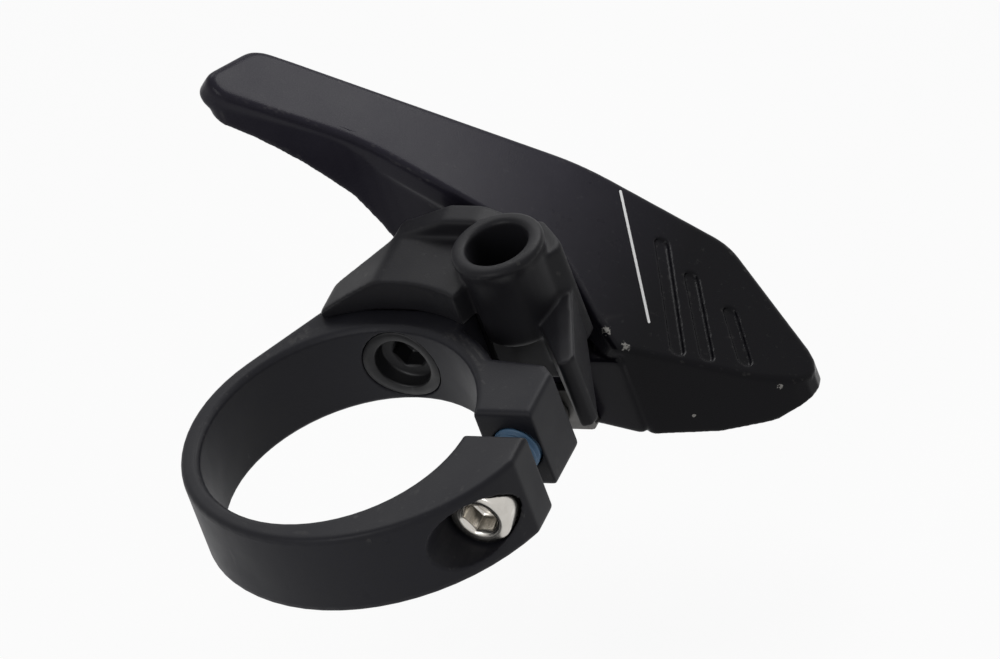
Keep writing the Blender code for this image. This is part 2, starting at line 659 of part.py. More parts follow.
def lever_side():
    """Side outline of the lever's wall in X and Z: the top line, then back along the lower contour."""
    under = 0.4
    left = -16.2
    right = 25.4
    return [
        (-13.0, lever_top(-13.0) - under), (left, lever_top(left) - 3.4), (left, 17.1), (-14.2, 15.3),
        (-12.7, 13.8), (-11.3, 12.15), (-9.9, 10.35),
        (-8.6, 8.4), (-7.3, 6.3), (-6.2, 3.4), (-5.3, 0.6), (-4.7, -4.0), (-3.4, -7.4), (-0.4, -10.0),
        (4.0, -11.0), (10.0, -12.6), (14.6, -14.1), (18.5, -15.65), (22.4, -16.3), (right, -15.6),
        (right, lever_top(right) - under),
    ]


def sloped_plate(outline, low, high, bevel=0.0):
    """A plan outline laid on the lever's sloped top plane and extruded square to that plane."""
    stretch = math.hypot(1, LEVER_SLOPE)
    flat = prism([(x * stretch, y) for x, y in outline], low, high, bevel=bevel)
    tilt = Matrix.Rotation(math.atan(LEVER_SLOPE), 4, "Y")
    bmesh.ops.transform(flat, matrix=Matrix.Translation((0, 0, LEVER_TOP * MM)) @ tilt, verts=flat.verts)
    return flat


def grip_lines():
    """Ends in plan of the thumb grooves, each shorter than the last towards the paddle's tip."""
    return [
        ((13.4, WEB_FRONT + 6.6), (17.2, WEB_FRONT - 2.1)),
        ((15.9, WEB_FRONT + 5.1), (18.9, WEB_FRONT - 1.1)),
        ((18.9, WEB_FRONT + 4.0), (21.0, WEB_FRONT + 0.5)),
    ]


def capsule(start, end, radius):
    """A slot's outline with round ends, anticlockwise."""
    heading = math.degrees(math.atan2(end[1] - start[1], end[0] - start[0]))
    return arc(end, radius, heading - 90, heading + 90, 5) + arc(start, radius, heading + 90, heading + 270, 5)


def anchor_point():
    return (CABLE_X - ANCHOR_CABLE_GROOVE / 2 - ANCHOR_SCREW / 2 - 0.2, ANCHOR_Z)


def anchor_side():
    """Side outline of the cable anchor's block, clear of the pivot lobe all the way down the stroke."""
    return rounded([
        (4.2, ANCHOR_Z - 0.2, 0.5), (4.2, ANCHOR_Z - 2.2, 0.8), (PORT_X + 1.0, ANCHOR_Z - 2.3, 2.0),
        (PORT_X + 5.05, ANCHOR_Z - 3.4, 0.6), (PORT_X + 5.05, ANCHOR_Z + 4.4, 0.6),
        (PORT_X - 1.0, ANCHOR_Z + 4.4, 0.2),
    ], 3)


def make_anchor(screw_material, plate_material, parent):
    """Screw and pressure plate that hold the inner cable in its groove."""
    x, z = anchor_point()
    tap = ANCHOR_SCREW / 2
    back = ANCHOR_FACE - SEAT_GAP
    front = back - ANCHOR_PLATE
    side = rounded([(x - 1.9, z - 2.0, 0.5), (x + 3.8, z - 2.0, 0.5), (x + 3.8, z + 2.0, 0.5),
                    (x - 1.9, z + 2.0, 0.5)], 3)
    plate = add("cable_anchor_plate", prism(side, front, back, "Y"), plate_material, parent)
    hole = [(0, front - 1), (tap + FIT, front - 1), (tap + FIT, back + 1), (0, back + 1)]
    change(plate, "DIFFERENCE", "cut_plate_hole", turned(hole, (x, z), "Y", SMALL_STEPS), parent)
    under = front - SEAT_GAP
    head = ANCHOR_HEAD / 2
    top = under - 2.2
    end = ANCHOR_FACE + 4.2
    profile = [(0, top), (head - 0.3, top), (head, top + 0.3), (head, under), (tap, under),
               (tap, end - 0.4), (tap - 0.4, end), (0, end)]
    screw = add("cable_anchor_screw", turned(profile, (x, z), "Y", SMALL_STEPS), screw_material, parent)
    socket = prism(hexagon((x, z), ANCHOR_KEY), top - 1, top + 1.3, "Y")
    change(screw, "DIFFERENCE", "cut_anchor_key", socket, parent)


def make_lever(material, parent):
    plate = sloped_plate(rounded(near_edge() + far_edge()), -PLATE_THICKNESS, 0, LEVER_BEVEL)
    lever = add("lever", plate, material, parent)
    heights = [z for x, z in lever_side()]
    wall_shape = prism(wall_plan(), min(heights) - 1, max(heights) + 1)
    wall = add("lever_wall", wall_shape, material, parent, smooth=False)
    wall.hide_render = True
    wall.display_type = "WIRE"
    change(wall, "INTERSECT", "keep_wall", prism(lever_side(), BORE_RADIUS, HUB_BACK + 10, "Y"), parent)
    join = lever.modifiers.new("join_wall", "BOOLEAN")
    join.operation = "UNION"
    join.object = wall
    hub = [(0, WEB_FRONT), (HUB_DIAMETER / 2 - 0.4, WEB_FRONT), (HUB_DIAMETER / 2, WEB_FRONT + 0.4),
           (HUB_DIAMETER / 2, HUB_BACK - 0.4), (HUB_DIAMETER / 2 - 0.4, HUB_BACK), (0, HUB_BACK)]
    change(lever, "UNION", "join_hub", turned(hub, pivot_point(), "Y"), parent)
    block = prism(anchor_side(), ANCHOR_FACE, WEB_FRONT + 1, "Y", bevel=0.4)
    change(lever, "UNION", "join_anchor", block, parent)
    half = ANCHOR_CABLE_GROOVE / 2
    below = ANCHOR_Z - 8
    groove = turned([(0, below), (half, below), (half, 0), (0, 0)], (CABLE_X, ANCHOR_FACE), "Z", SMALL_STEPS)
    change(lever, "DIFFERENCE", "cut_cable_groove", groove, parent)
    tap = ANCHOR_SCREW / 2 + FIT
    hole = [(0, ANCHOR_FACE - 1), (tap, ANCHOR_FACE - 1), (tap, ANCHOR_FACE + 4.4), (0, ANCHOR_FACE + 5.2)]
    change(lever, "DIFFERENCE", "cut_anchor_thread", turned(hole, anchor_point(), "Y", SMALL_STEPS), parent)
    seat = BEARING_OUTSIDE / 2 + FIT
    lip = BEARING_OUTSIDE / 2 - 0.9
    clip = BEARING_OUTSIDE / 2 + 0.35 + FIT
    bore = [
        (0, WEB_FRONT - 1), (seat, WEB_FRONT - 1), (seat, FIRST_BEARING + BEARING_WIDTH + FIT),
        (lip, FIRST_BEARING + BEARING_WIDTH + FIT), (lip, SECOND_BEARING - FIT), (seat, SECOND_BEARING - FIT),
        (seat, BEARING_END), (clip, BEARING_END), (clip, BEARING_END + CIRCLIP_THICKNESS + 2 * FIT),
        (seat, BEARING_END + CIRCLIP_THICKNESS + 2 * FIT), (seat, HUB_BACK + 1), (0, HUB_BACK + 1),
    ]
    change(lever, "DIFFERENCE", "cut_bearing_seats", turned(bore, pivot_point(), "Y"), parent)
    for i, (start, end) in enumerate(grip_lines()):
        outline = capsule(start, end, GRIP_GROOVE_WIDTH / 2)
        groove = sloped_plate(outline, -GRIP_GROOVE_DEPTH, 1)
        change(lever, "DIFFERENCE", f"cut_grip_{i + 1}", groove, parent)


def main():
    clear_scene()
    black = make_material("anodised_black", (0.022, 0.022, 0.026), 0.42, 0.0)
    lever_black = make_material("lever_black", (0.028, 0.028, 0.034), 0.35, 0.0)
    steel = make_material("stainless_steel", (0.62, 0.62, 0.6), 0.25, 1.0)
    dark_steel = make_material("black_steel", (0.03, 0.03, 0.03), 0.35, 0.6)
    shield = make_material("rubber_shield", (0.02, 0.02, 0.02), 0.6, 0.0)
    mount = bpy.data.objects.new("mount_origin", None)
    pivot = bpy.data.objects.new("lever_pivot_axis", None)
    for empty in (mount, pivot):
        bpy.context.scene.collection.objects.link(empty)
    pivot.location = Vector((PIVOT_X, WEB_FRONT, PIVOT_Z)) * MM
    pivot.parent = mount
    bpy.context.view_layer.update()
    make_clamp_band(black, mount)
    make_clamp_bolt(steel, mount)
    make_bracket_screw(dark_steel, mount)
    make_bracket(black, mount)
    make_pivot(steel, dark_steel, mount)
    make_bearing(1, FIRST_BEARING, steel, shield, mount, pivot)
    make_bearing(2, SECOND_BEARING, steel, shield, mount, pivot)
    make_circlip(dark_steel, pivot)
    make_spring(steel, mount)
    make_anchor(steel, steel, pivot)
    make_lever(lever_black, pivot)


main()
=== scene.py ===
"""The look of a dropper post remote lever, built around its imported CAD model.

Forged and machined black aluminium parts get an even skin with soft edges, the screws get real
threads and sockets, and every surface gets a procedural finish. The camera looks along the
photograph's angle, and the object stands over a plain pale floor.
"""

import math

import bmesh
import bpy
from mathutils import Matrix, Vector


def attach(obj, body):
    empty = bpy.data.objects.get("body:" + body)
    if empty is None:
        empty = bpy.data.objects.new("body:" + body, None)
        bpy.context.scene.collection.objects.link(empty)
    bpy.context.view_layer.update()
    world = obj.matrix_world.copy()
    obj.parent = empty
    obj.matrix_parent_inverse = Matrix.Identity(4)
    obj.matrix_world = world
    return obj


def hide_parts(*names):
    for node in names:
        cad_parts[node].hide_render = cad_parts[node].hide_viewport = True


bl_info = {
    "name": "Remote Lever Finish",
    "version": (1, 0, 0),
    "blender": (4, 5, 0),
    "location": "View3D > Sidebar > Remote Lever",
    "description": "Gives a handlebar remote lever its edges, threads, finishes and studio",
    "category": "Object",
}

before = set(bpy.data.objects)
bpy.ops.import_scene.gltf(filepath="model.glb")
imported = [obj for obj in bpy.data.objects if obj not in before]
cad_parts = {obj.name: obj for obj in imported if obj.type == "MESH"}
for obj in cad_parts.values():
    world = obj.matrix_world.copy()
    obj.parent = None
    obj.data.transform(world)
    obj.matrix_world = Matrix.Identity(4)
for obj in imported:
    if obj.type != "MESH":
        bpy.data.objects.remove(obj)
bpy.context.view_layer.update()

MM = 0.001
FULL_TURN = 2 * math.pi
ROUND_STEPS = 96
MOST_FACES = 180000
WELD_DISTANCE = 0.002 * MM
SMOOTH_FACTOR = 0.5

# Camera
CAMERA_UP = Vector((-0.0261, 0.6643, 0.7470))
CAMERA_BACK = Vector((0.4592, -0.6558, 0.5992))
CAMERA_TARGET = Vector((10.95, 9.33, 5.57)) * MM
CAMERA_DISTANCE = 1.707
CAMERA_LENS = 800.0
SENSOR_WIDTH = 36.0

# Floor and lights
FLOOR_Z = -0.030
FLOOR_RADIUS = 3.0
FLOOR_GLOW = 0.92
LIGHT_DISTANCE = 0.45
KEY_WAY = Vector((-0.25, 0.65, 0.72)).normalized()
KEY_SIZE = (0.2, 0.2)
FILL_WAY = Vector((-0.1, -0.85, 0.5)).normalized()
FILL_SIZE = (0.2, 0.3)
SHEEN_PLACE = Vector((19.0, 62.0, 50.0)) * MM
SHEEN_TARGET = Vector((-12.0, 22.0, 17.0)) * MM
SHEEN_SIZE = (0.035, 0.035)

# A point on the axis of each turned part. The axes run along Y.
CLAMP_BOLT_AXIS = Vector((13.6, 0.0, 0.0)) * MM
BRACKET_SCREW_AXIS = Vector((0.0, 0.0, 0.0))
PIVOT_AXIS = Vector((2.5, 0.0, -4.25)) * MM
ANCHOR_AXIS = Vector((6.6, 0.0, -10.2)) * MM

# Cylinders of the clamp band: centre, radius, and first and last angle in degrees
BAND_CYLINDERS = (
    ((0.0, 0.0), 12.65 * MM, 152.0, 235.9),
    ((0.0, 0.0), 11.1 * MM, 0.0, 360.0),
    ((1.879 * MM, 2.775 * MM), 16.0 * MM, 235.9, 335.0),
)
BAND_FLAT_REACH = 3.2 * MM
BAND_WALL_SLACK = 0.035 * MM

# Lever: its top face, where its skin is rounder, and the printed line
LEVER_TOP_HEIGHT = 7.22 * MM
LEVER_TOP_NORMAL = Vector((0.85, 0.0, 1.0)).normalized()
SOFT_DEPTH = 2.0 * MM
SOFT_DEPTH_BLEND = 1.0 * MM
SOFT_TIP = -11.0 * MM
SOFT_TIP_BLEND = 2.0 * MM
LINE_START = Vector((9.79, 32.94, -1.10)) * MM
LINE_END = Vector((14.93, 22.76, -5.47)) * MM
LINE_SINK = 0.1 * MM

# Bare-metal chips in the lever's black at the notch's edge and the paddle tip, partly real chips and partly
# painted highlights: place, reach, and the lowest noise that counts
LEVER_CHIPS_AND_HIGHLIGHTS = (
    (Vector((12.9, 19.9, -3.9)) * MM, 1.4 * MM, 0.42),
    (Vector((14.4, 19.4, -5.0)) * MM, 1.4 * MM, 0.42),
    (Vector((23.2, 24.4, -13.3)) * MM, 0.6 * MM, 0.34),
    (Vector((17.2, 20.7, -13.25)) * MM, 0.25 * MM, 0.2),
)

# Values that finishes share
BUMP_DISTANCE = 0.01 * MM
DUST_COLOR = (0.12, 0.12, 0.115)
WORN_ROUGHNESS = 0.32
# Thumb end of the lever: where it starts and blends, the painted shade that darkens its colour, and its
# smoother roughness
THUMB_START = 6.0 * MM
THUMB_BLEND = 9.0 * MM
THUMB_PAINTED_SHADE = 0.25
THUMB_ROUGHNESS = 0.24
PAINT_START = 0.9 * MM
PAINT_RAGGED = 1.2 * MM
PAINT_EDGE = 0.05 * MM
PAINT_ROUGHNESS = 0.45

# Screws, in millimetres. The place is the middle of the head's top, or of the countersunk face, and
# way is 1 where the screw runs up Y from there and -1 where it runs down.
CLAMP_BOLT = {
    "place": (13.6, -6.23, 0.0), "way": 1, "head_radius": 2.55, "head_height": 2.6, "rim": 0.45, "key": 2.5,
    "thread_radius": 1.98, "pitch": 0.7, "thread_start": 4.5, "length": 13.43, "shank_radius": 1.95,
}
PIVOT_BOLT = {
    "place": (2.5, 33.74, -4.25), "way": -1, "head_radius": 4.3, "head_height": 1.7, "rim": 0.4, "key": 3.0,
    "thread_radius": 1.98, "pitch": 0.7, "thread_start": 10.34, "length": 13.74, "shank_radius": 2.5,
}
ANCHOR_SCREW = {
    "place": (6.6, 15.3, -10.2), "way": 1, "head_radius": 1.9, "head_height": 2.2, "rim": 0.25, "key": 2.0,
    "thread_radius": 1.49, "pitch": 0.5, "thread_start": 3.4, "length": 7.4, "shank_radius": 1.49,
}
BRACKET_SCREW = {
    "place": (0.0, 11.2, 0.0), "face_radius": 3.22, "recess_radius": 2.3, "recess_depth": 1.2, "rim": 0.15,
    "key": 2.5, "key_depth": 1.6, "lead": 0.12, "thread_radius": 1.99, "pitch": 0.7, "length": 6.9,
}
BORE_WALL_RADIUS = 11.13

# First and last row of the faces that have a screw's second finish
# For the clamp bolt, the second finish is the socket's darker steel, which is painted shade
CLAMP_SOCKET_ROWS = (0, 6)
BRACKET_FACE_ROWS = (10, 14)


def settings():
    """The user's settings, which are kept in the scene."""
    return bpy.context.scene.remote_lever


def add_node(tree, kind, values=None, **options):
    """A shader node with its options and socket values set."""
    node = tree.nodes.new(kind)
    for name, value in options.items():
        setattr(node, name, value)
    for socket, value in (values or {}).items():
        node.inputs[socket].default_value = value
    return node


def join(tree, source, target):
    """Links one socket to another. Each is a pair of a node and a socket's name or number."""
    tree.links.new(source[0].outputs[source[1]], target[0].inputs[target[1]])


def new_group(name, inputs, outputs):
    """An empty node group with named inputs (name, kind, default) and outputs (name, kind)."""
    tree = bpy.data.node_groups.new(name, "ShaderNodeTree")
    for label, kind, default in inputs:
        socket = tree.interface.new_socket(label, in_out="INPUT", socket_type=kind)
        socket.default_value = default
    for label, kind in outputs:
        tree.interface.new_socket(label, in_out="OUTPUT", socket_type=kind)
    start = add_node(tree, "NodeGroupInput")
    end = add_node(tree, "NodeGroupOutput")
    return tree, start, end


def blasted_grain_group():
    """Fine grain of blasted and anodised metal, with slow patches of shine."""
    inputs = [
        ("Grain Scale", "NodeSocketFloat", 9000.0),
        ("Patch Scale", "NodeSocketFloat", 220.0),
        ("Low Roughness", "NodeSocketFloat", 0.36),
        ("High Roughness", "NodeSocketFloat", 0.5),
    ]
    outputs = [
        ("Height", "NodeSocketFloat"),
        ("Roughness", "NodeSocketFloat"),
        ("Patches", "NodeSocketFloat"),
    ]
    tree, start, end = new_group("Blasted grain", inputs, outputs)
    place = add_node(tree, "ShaderNodeTexCoord")
    grain = add_node(tree, "ShaderNodeTexNoise", {"Detail": 3.0, "Roughness": 0.6})
    pits = add_node(tree, "ShaderNodeTexVoronoi", feature="SMOOTH_F1")
    pits.inputs["Smoothness"].default_value = 0.4
    patch = add_node(tree, "ShaderNodeTexNoise", {"Detail": 4.0, "Roughness": 0.55})
    height = add_node(tree, "ShaderNodeMath", operation="ADD")
    spread = add_node(tree, "ShaderNodeMapRange", {"From Min": 0.3, "From Max": 0.7})
    for texture in (grain, pits, patch):
        join(tree, (place, "Object"), (texture, "Vector"))
    join(tree, (start, "Grain Scale"), (grain, "Scale"))
    join(tree, (start, "Grain Scale"), (pits, "Scale"))
    join(tree, (start, "Patch Scale"), (patch, "Scale"))
    join(tree, (grain, "Fac"), (height, 0))
    join(tree, (pits, "Distance"), (height, 1))
    join(tree, (patch, "Fac"), (spread, "Value"))
    join(tree, (start, "Low Roughness"), (spread, "To Min"))
    join(tree, (start, "High Roughness"), (spread, "To Max"))
    join(tree, (height, "Value"), (end, "Height"))
    join(tree, (spread, "Result"), (end, "Roughness"))
    join(tree, (patch, "Fac"), (end, "Patches"))
    return tree


def edge_wear_group():
    """A mask of rubbed outer edges, broken up by noise."""
    inputs = [
        ("First Edge", "NodeSocketFloat", 0.53),
        ("Full Edge", "NodeSocketFloat", 0.6),
        ("Break Up Scale", "NodeSocketFloat", 900.0),
        ("Amount", "NodeSocketFloat", 0.5),
    ]
    tree, start, end = new_group("Edge wear", inputs, [("Mask", "NodeSocketFloat")])
    shape = add_node(tree, "ShaderNodeNewGeometry")
    place = add_node(tree, "ShaderNodeTexCoord")
    edge = add_node(tree, "ShaderNodeMapRange")
    rough = add_node(tree, "ShaderNodeTexNoise", {"Detail": 5.0, "Roughness": 0.65})
    broken = add_node(tree, "ShaderNodeMapRange", {"From Min": 0.4, "From Max": 0.62})
    both = add_node(tree, "ShaderNodeMath", operation="MULTIPLY")
    scaled = add_node(tree, "ShaderNodeMath", operation="MULTIPLY", use_clamp=True)
    join(tree, (shape, "Pointiness"), (edge, "Value"))
    join(tree, (start, "First Edge"), (edge, "From Min"))
    join(tree, (start, "Full Edge"), (edge, "From Max"))
    join(tree, (place, "Object"), (rough, "Vector"))
    join(tree, (start, "Break Up Scale"), (rough, "Scale"))
    join(tree, (rough, "Fac"), (broken, "Value"))
    join(tree, (edge, "Result"), (both, 0))
    join(tree, (broken, "Result"), (both, 1))
    join(tree, (both, "Value"), (scaled, 0))
    join(tree, (start, "Amount"), (scaled, 1))
    join(tree, (scaled, "Value"), (end, "Mask"))
    return tree


def chip_and_highlight_group():
    """A mask of small bright chips around one point of the surface, which are partly painted highlights."""
    inputs = [
        ("Centre", "NodeSocketVector", (0.0, 0.0, 0.0)),
        ("Reach", "NodeSocketFloat", 0.001),
        ("Fleck Scale", "NodeSocketFloat", 5200.0),
        ("Fewest", "NodeSocketFloat", 0.55),
    ]
    tree, start, end = new_group("Chips and highlights", inputs, [("Mask", "NodeSocketFloat")])
    place = add_node(tree, "ShaderNodeTexCoord")
    away = add_node(tree, "ShaderNodeVectorMath", operation="DISTANCE")
    near = add_node(tree, "ShaderNodeMapRange", {"From Min": 0.0, "To Min": 1.0, "To Max": 0.0})
    fleck = add_node(tree, "ShaderNodeTexNoise", {"Detail": 3.0, "Roughness": 0.6})
    level = add_node(tree, "ShaderNodeMath", operation="MULTIPLY")
    chosen = add_node(tree, "ShaderNodeMath", operation="GREATER_THAN")
    soft = add_node(tree, "ShaderNodeMath", {1: 0.55}, operation="MULTIPLY")
    join(tree, (place, "Object"), (away, 0))
    join(tree, (start, "Centre"), (away, 1))
    join(tree, (away, "Value"), (near, "Value"))
    join(tree, (start, "Reach"), (near, "From Max"))
    join(tree, (place, "Object"), (fleck, "Vector"))
    join(tree, (start, "Fleck Scale"), (fleck, "Scale"))
    join(tree, (near, "Result"), (level, 0))
    join(tree, (fleck, "Fac"), (level, 1))
    join(tree, (level, "Value"), (chosen, 0))
    join(tree, (start, "Fewest"), (chosen, 1))
    join(tree, (chosen, "Value"), (soft, 0))
    join(tree, (soft, "Value"), (end, "Mask"))
    return tree


def dust_group():
    """A mask of pale handling dust on faces that look up."""
    inputs = [("Fleck Scale", "NodeSocketFloat", 1500.0), ("Amount", "NodeSocketFloat", 0.2)]
    tree, start, end = new_group("Handling dust", inputs, [("Mask", "NodeSocketFloat")])
    place = add_node(tree, "ShaderNodeTexCoord")
    fleck = add_node(tree, "ShaderNodeTexNoise", {"Detail": 6.0, "Roughness": 0.75})
    few = add_node(tree, "ShaderNodeMapRange", {"From Min": 0.6, "From Max": 0.78})
    normal = add_node(tree, "ShaderNodeSeparateXYZ")
    upward = add_node(tree, "ShaderNodeMapRange", {"From Min": 0.0, "From Max": 1.0})
    both = add_node(tree, "ShaderNodeMath", operation="MULTIPLY")
    scaled = add_node(tree, "ShaderNodeMath", operation="MULTIPLY", use_clamp=True)
    join(tree, (place, "Object"), (fleck, "Vector"))
    join(tree, (start, "Fleck Scale"), (fleck, "Scale"))
    join(tree, (fleck, "Fac"), (few, "Value"))
    join(tree, (place, "Normal"), (normal, "Vector"))
    join(tree, (normal, "Z"), (upward, "Value"))
    join(tree, (few, "Result"), (both, 0))
    join(tree, (upward, "Result"), (both, 1))
    join(tree, (both, "Value"), (scaled, 0))
    join(tree, (start, "Amount"), (scaled, 1))
    join(tree, (scaled, "Value"), (end, "Mask"))
    return tree


def turned_rings_group():
    """Fine tool rings round an axis along Y through a given point."""
    inputs = [
        ("Axis Point", "NodeSocketVector", (0.0, 0.0, 0.0)),
        ("Ring Scale", "NodeSocketFloat", 9000.0),
        ("Low Roughness", "NodeSocketFloat", 0.18),
        ("High Roughness", "NodeSocketFloat", 0.34),
    ]
    outputs = [
        ("Height", "NodeSocketFloat"),
        ("Roughness", "NodeSocketFloat"),
        ("Stain", "NodeSocketFloat"),
    ]
    tree, start, end = new_group("Turned rings", inputs, outputs)
    place = add_node(tree, "ShaderNodeTexCoord")
    offset = add_node(tree, "ShaderNodeVectorMath", operation="SUBTRACT")
    flat = add_node(tree, "ShaderNodeVectorMath", operation="MULTIPLY")
    flat.inputs[1].default_value = (1.0, 0.0, 1.0)
    radius = add_node(tree, "ShaderNodeVectorMath", operation="LENGTH")
    ring = add_node(tree, "ShaderNodeTexNoise", {"Detail": 4.0, "Roughness": 0.7}, noise_dimensions="1D")
    stain = add_node(tree, "ShaderNodeTexNoise", {"Scale": 700.0, "Detail": 4.0})
    spread = add_node(tree, "ShaderNodeMapRange", {"From Min": 0.3, "From Max": 0.7})
    join(tree, (place, "Object"), (offset, 0))
    join(tree, (start, "Axis Point"), (offset, 1))
    join(tree, (offset, "Vector"), (flat, 0))
    join(tree, (flat, "Vector"), (radius, 0))
    join(tree, (radius, "Value"), (ring, "W"))
    join(tree, (start, "Ring Scale"), (ring, "Scale"))
    join(tree, (place, "Object"), (stain, "Vector"))
    join(tree, (ring, "Fac"), (spread, "Value"))
    join(tree, (start, "Low Roughness"), (spread, "To Min"))
    join(tree, (start, "High Roughness"), (spread, "To Max"))
    join(tree, (ring, "Fac"), (end, "Height"))
    join(tree, (spread, "Result"), (end, "Roughness"))
    join(tree, (stain, "Fac"), (end, "Stain"))
    return tree


GROUP_MAKERS = {
    "Blasted grain": blasted_grain_group,
    "Edge wear": edge_wear_group,
    "Chips and highlights": chip_and_highlight_group,
    "Handling dust": dust_group,
    "Turned rings": turned_rings_group,
}


def use_group(tree, name, values=None):
    """A node of a shared group, which is made on its first use."""
    group = bpy.data.node_groups.get(name) or GROUP_MAKERS[name]()
    node = tree.nodes.new("ShaderNodeGroup")
    node.node_tree = group
    for socket, value in (values or {}).items():
        node.inputs[socket].default_value = value
    return node


def blend_colors(tree, mask, first, second):
    """A colour mix by a mask. A colour is a tuple, or a pair of a node and its socket."""
    # The Mix node's colours are its inputs 6 and 7 and its output 2
    mix = add_node(tree, "ShaderNodeMix", data_type="RGBA")
    join(tree, mask, (mix, 0))
    for number, color in ((6, first), (7, second)):
        if isinstance(color[0], float):
            mix.inputs[number].default_value = (*color[:3], 1.0)
        else:
            join(tree, color, (mix, number))
    return mix, 2


def blend_values(tree, mask, first, second):
    """A number mix by a mask. A value is a float, or a pair of a node and its socket."""
    # The Mix node's numbers are its inputs 2 and 3 and its output 0
    mix = add_node(tree, "ShaderNodeMix", data_type="FLOAT")
    join(tree, mask, (mix, 0))
    for number, value in ((2, first), (3, second)):
        if isinstance(value, float):
            mix.inputs[number].default_value = value
        else:
            join(tree, value, (mix, number))
    return mix, 0


def highest(tree, masks):
    """The highest of several masks."""
    result = masks[0]
    for mask in masks[1:]:
        larger = add_node(tree, "ShaderNodeMath", operation="MAXIMUM")
        join(tree, result, (larger, 0))
        join(tree, mask, (larger, 1))
        result = (larger, "Value")
    return result


def start_material(name, specular, metallic=0.0):
    """A new material with its tree and shader."""
    material = bpy.data.materials.new(name)
    material.use_nodes = True
    tree = material.node_tree
    shader = tree.nodes["Principled BSDF"]
    shader.inputs["Specular IOR Level"].default_value = specular
    shader.inputs["Metallic"].default_value = metallic
    return material, tree, shader


def set_bump(tree, shader, height, strength):
    """Lets a height change the shader's normal."""
    bump = add_node(tree, "ShaderNodeBump", {"Strength": strength, "Distance": BUMP_DISTANCE})
    join(tree, height, (bump, "Height"))
    join(tree, (bump, "Normal"), (shader, "Normal"))


def anodised(name, colors, specular, roughness, wear, chips=(), thumb=False):
    """Black anodised aluminium with grain, patches, rubbed edges, bare-metal chips that are partly painted
    highlights, and a thumb end that is smoother and darkened by painted shade.

    colors gives the dark patches, the light patches and the bare metal.
    """
    dark, light, bare = colors
    material, tree, shader = start_material(name, specular)
    low, high = roughness
    grain = use_group(tree, "Blasted grain", {"Low Roughness": low, "High Roughness": high})
    edges = use_group(tree, "Edge wear", {"First Edge": 0.535, "Full Edge": 0.62, "Amount": wear})
    dust = use_group(tree, "Handling dust", {"Amount": 0.25})
    surface = blend_colors(tree, (grain, "Patches"), dark, light)
    rough = (grain, "Roughness")
    # Painted shade: the mask rubbed darkens the lever's colour towards its thumb end, standing in for light
    # that falls off along its top. The same mask lowers the roughness there for thumb polish.
    if thumb:
        place = add_node(tree, "ShaderNodeTexCoord")
        axis = add_node(tree, "ShaderNodeSeparateXYZ")
        reach = {"From Min": THUMB_START, "From Max": THUMB_START + THUMB_BLEND}
        rubbed = add_node(tree, "ShaderNodeMapRange", reach)
        join(tree, (place, "Object"), (axis, "Vector"))
        join(tree, (axis, "X"), (rubbed, "Value"))
        darker = tuple(value * THUMB_PAINTED_SHADE for value in dark)
        surface = blend_colors(tree, (rubbed, "Result"), surface, darker)
        rough = blend_values(tree, (rubbed, "Result"), rough, THUMB_ROUGHNESS)
    dusty = blend_colors(tree, (dust, "Mask"), surface, DUST_COLOR)
    masks = [(edges, "Mask")]
    # Bare-metal chips, partly real chips and partly painted highlights
    for center, reach, fewest in chips:
        spot = use_group(tree, "Chips and highlights", {"Centre": tuple(center), "Reach": reach, "Fewest": fewest})
        masks.append((spot, "Mask"))
    worn = highest(tree, masks)
    color = blend_colors(tree, worn, dusty, bare)
    smoother = blend_values(tree, worn, rough, WORN_ROUGHNESS)
    join(tree, color, (shader, "Base Color"))
    join(tree, smoother, (shader, "Roughness"))
    if chips:
        join(tree, highest(tree, masks[1:]), (shader, "Metallic"))
    set_bump(tree, shader, (grain, "Height"), 0.35)
    return material


def steel(name, axis_point, bright, stained, roughness, metallic=1.0, specular=0.5, paint=None):
    """Turned steel with tool rings, faint stains and lighter rubbed edges.

    paint is the colour of a patch that starts at PAINT_START along Y, with a ragged edge.
    """
    material, tree, shader = start_material(name, specular, metallic)
    low, high = roughness
    rings = use_group(tree, "Turned rings", {
        "Axis Point": tuple(axis_point), "Low Roughness": low, "High Roughness": high,
    })
    edges = use_group(tree, "Edge wear", {"First Edge": 0.52, "Full Edge": 0.62, "Amount": 0.5})
    surface = blend_colors(tree, (rings, "Stain"), stained, bright)
    lighter = tuple(min(1.0, value * 1.25 + 0.02) for value in bright)
    color = blend_colors(tree, (edges, "Mask"), surface, lighter)
    rough = (rings, "Roughness")
    if paint is not None:
        place = add_node(tree, "ShaderNodeTexCoord")
        axis = add_node(tree, "ShaderNodeSeparateXYZ")
        ragged = add_node(tree, "ShaderNodeTexNoise", {"Scale": 1400.0, "Detail": 3.0})
        border = add_node(tree, "ShaderNodeMath", {1: PAINT_RAGGED}, operation="MULTIPLY")
        shifted = add_node(tree, "ShaderNodeMath", operation="ADD")
        reach = {"From Min": PAINT_START, "From Max": PAINT_START + PAINT_EDGE}
        painted = add_node(tree, "ShaderNodeMapRange", reach)
        bare = add_node(tree, "ShaderNodeMath", {0: 1.0}, operation="SUBTRACT")
        join(tree, (place, "Object"), (axis, "Vector"))
        join(tree, (place, "Object"), (ragged, "Vector"))
        join(tree, (ragged, "Fac"), (border, 0))
        join(tree, (axis, "Y"), (shifted, 0))
        join(tree, (border, "Value"), (shifted, 1))
        join(tree, (shifted, "Value"), (painted, "Value"))
        join(tree, (painted, "Result"), (bare, 1))
        color = blend_colors(tree, (painted, "Result"), color, paint)
        rough = blend_values(tree, (painted, "Result"), rough, PAINT_ROUGHNESS)
        join(tree, (bare, "Value"), (shader, "Metallic"))
    join(tree, color, (shader, "Base Color"))
    join(tree, rough, (shader, "Roughness"))
    set_bump(tree, shader, (rings, "Height"), 0.2)
    return material


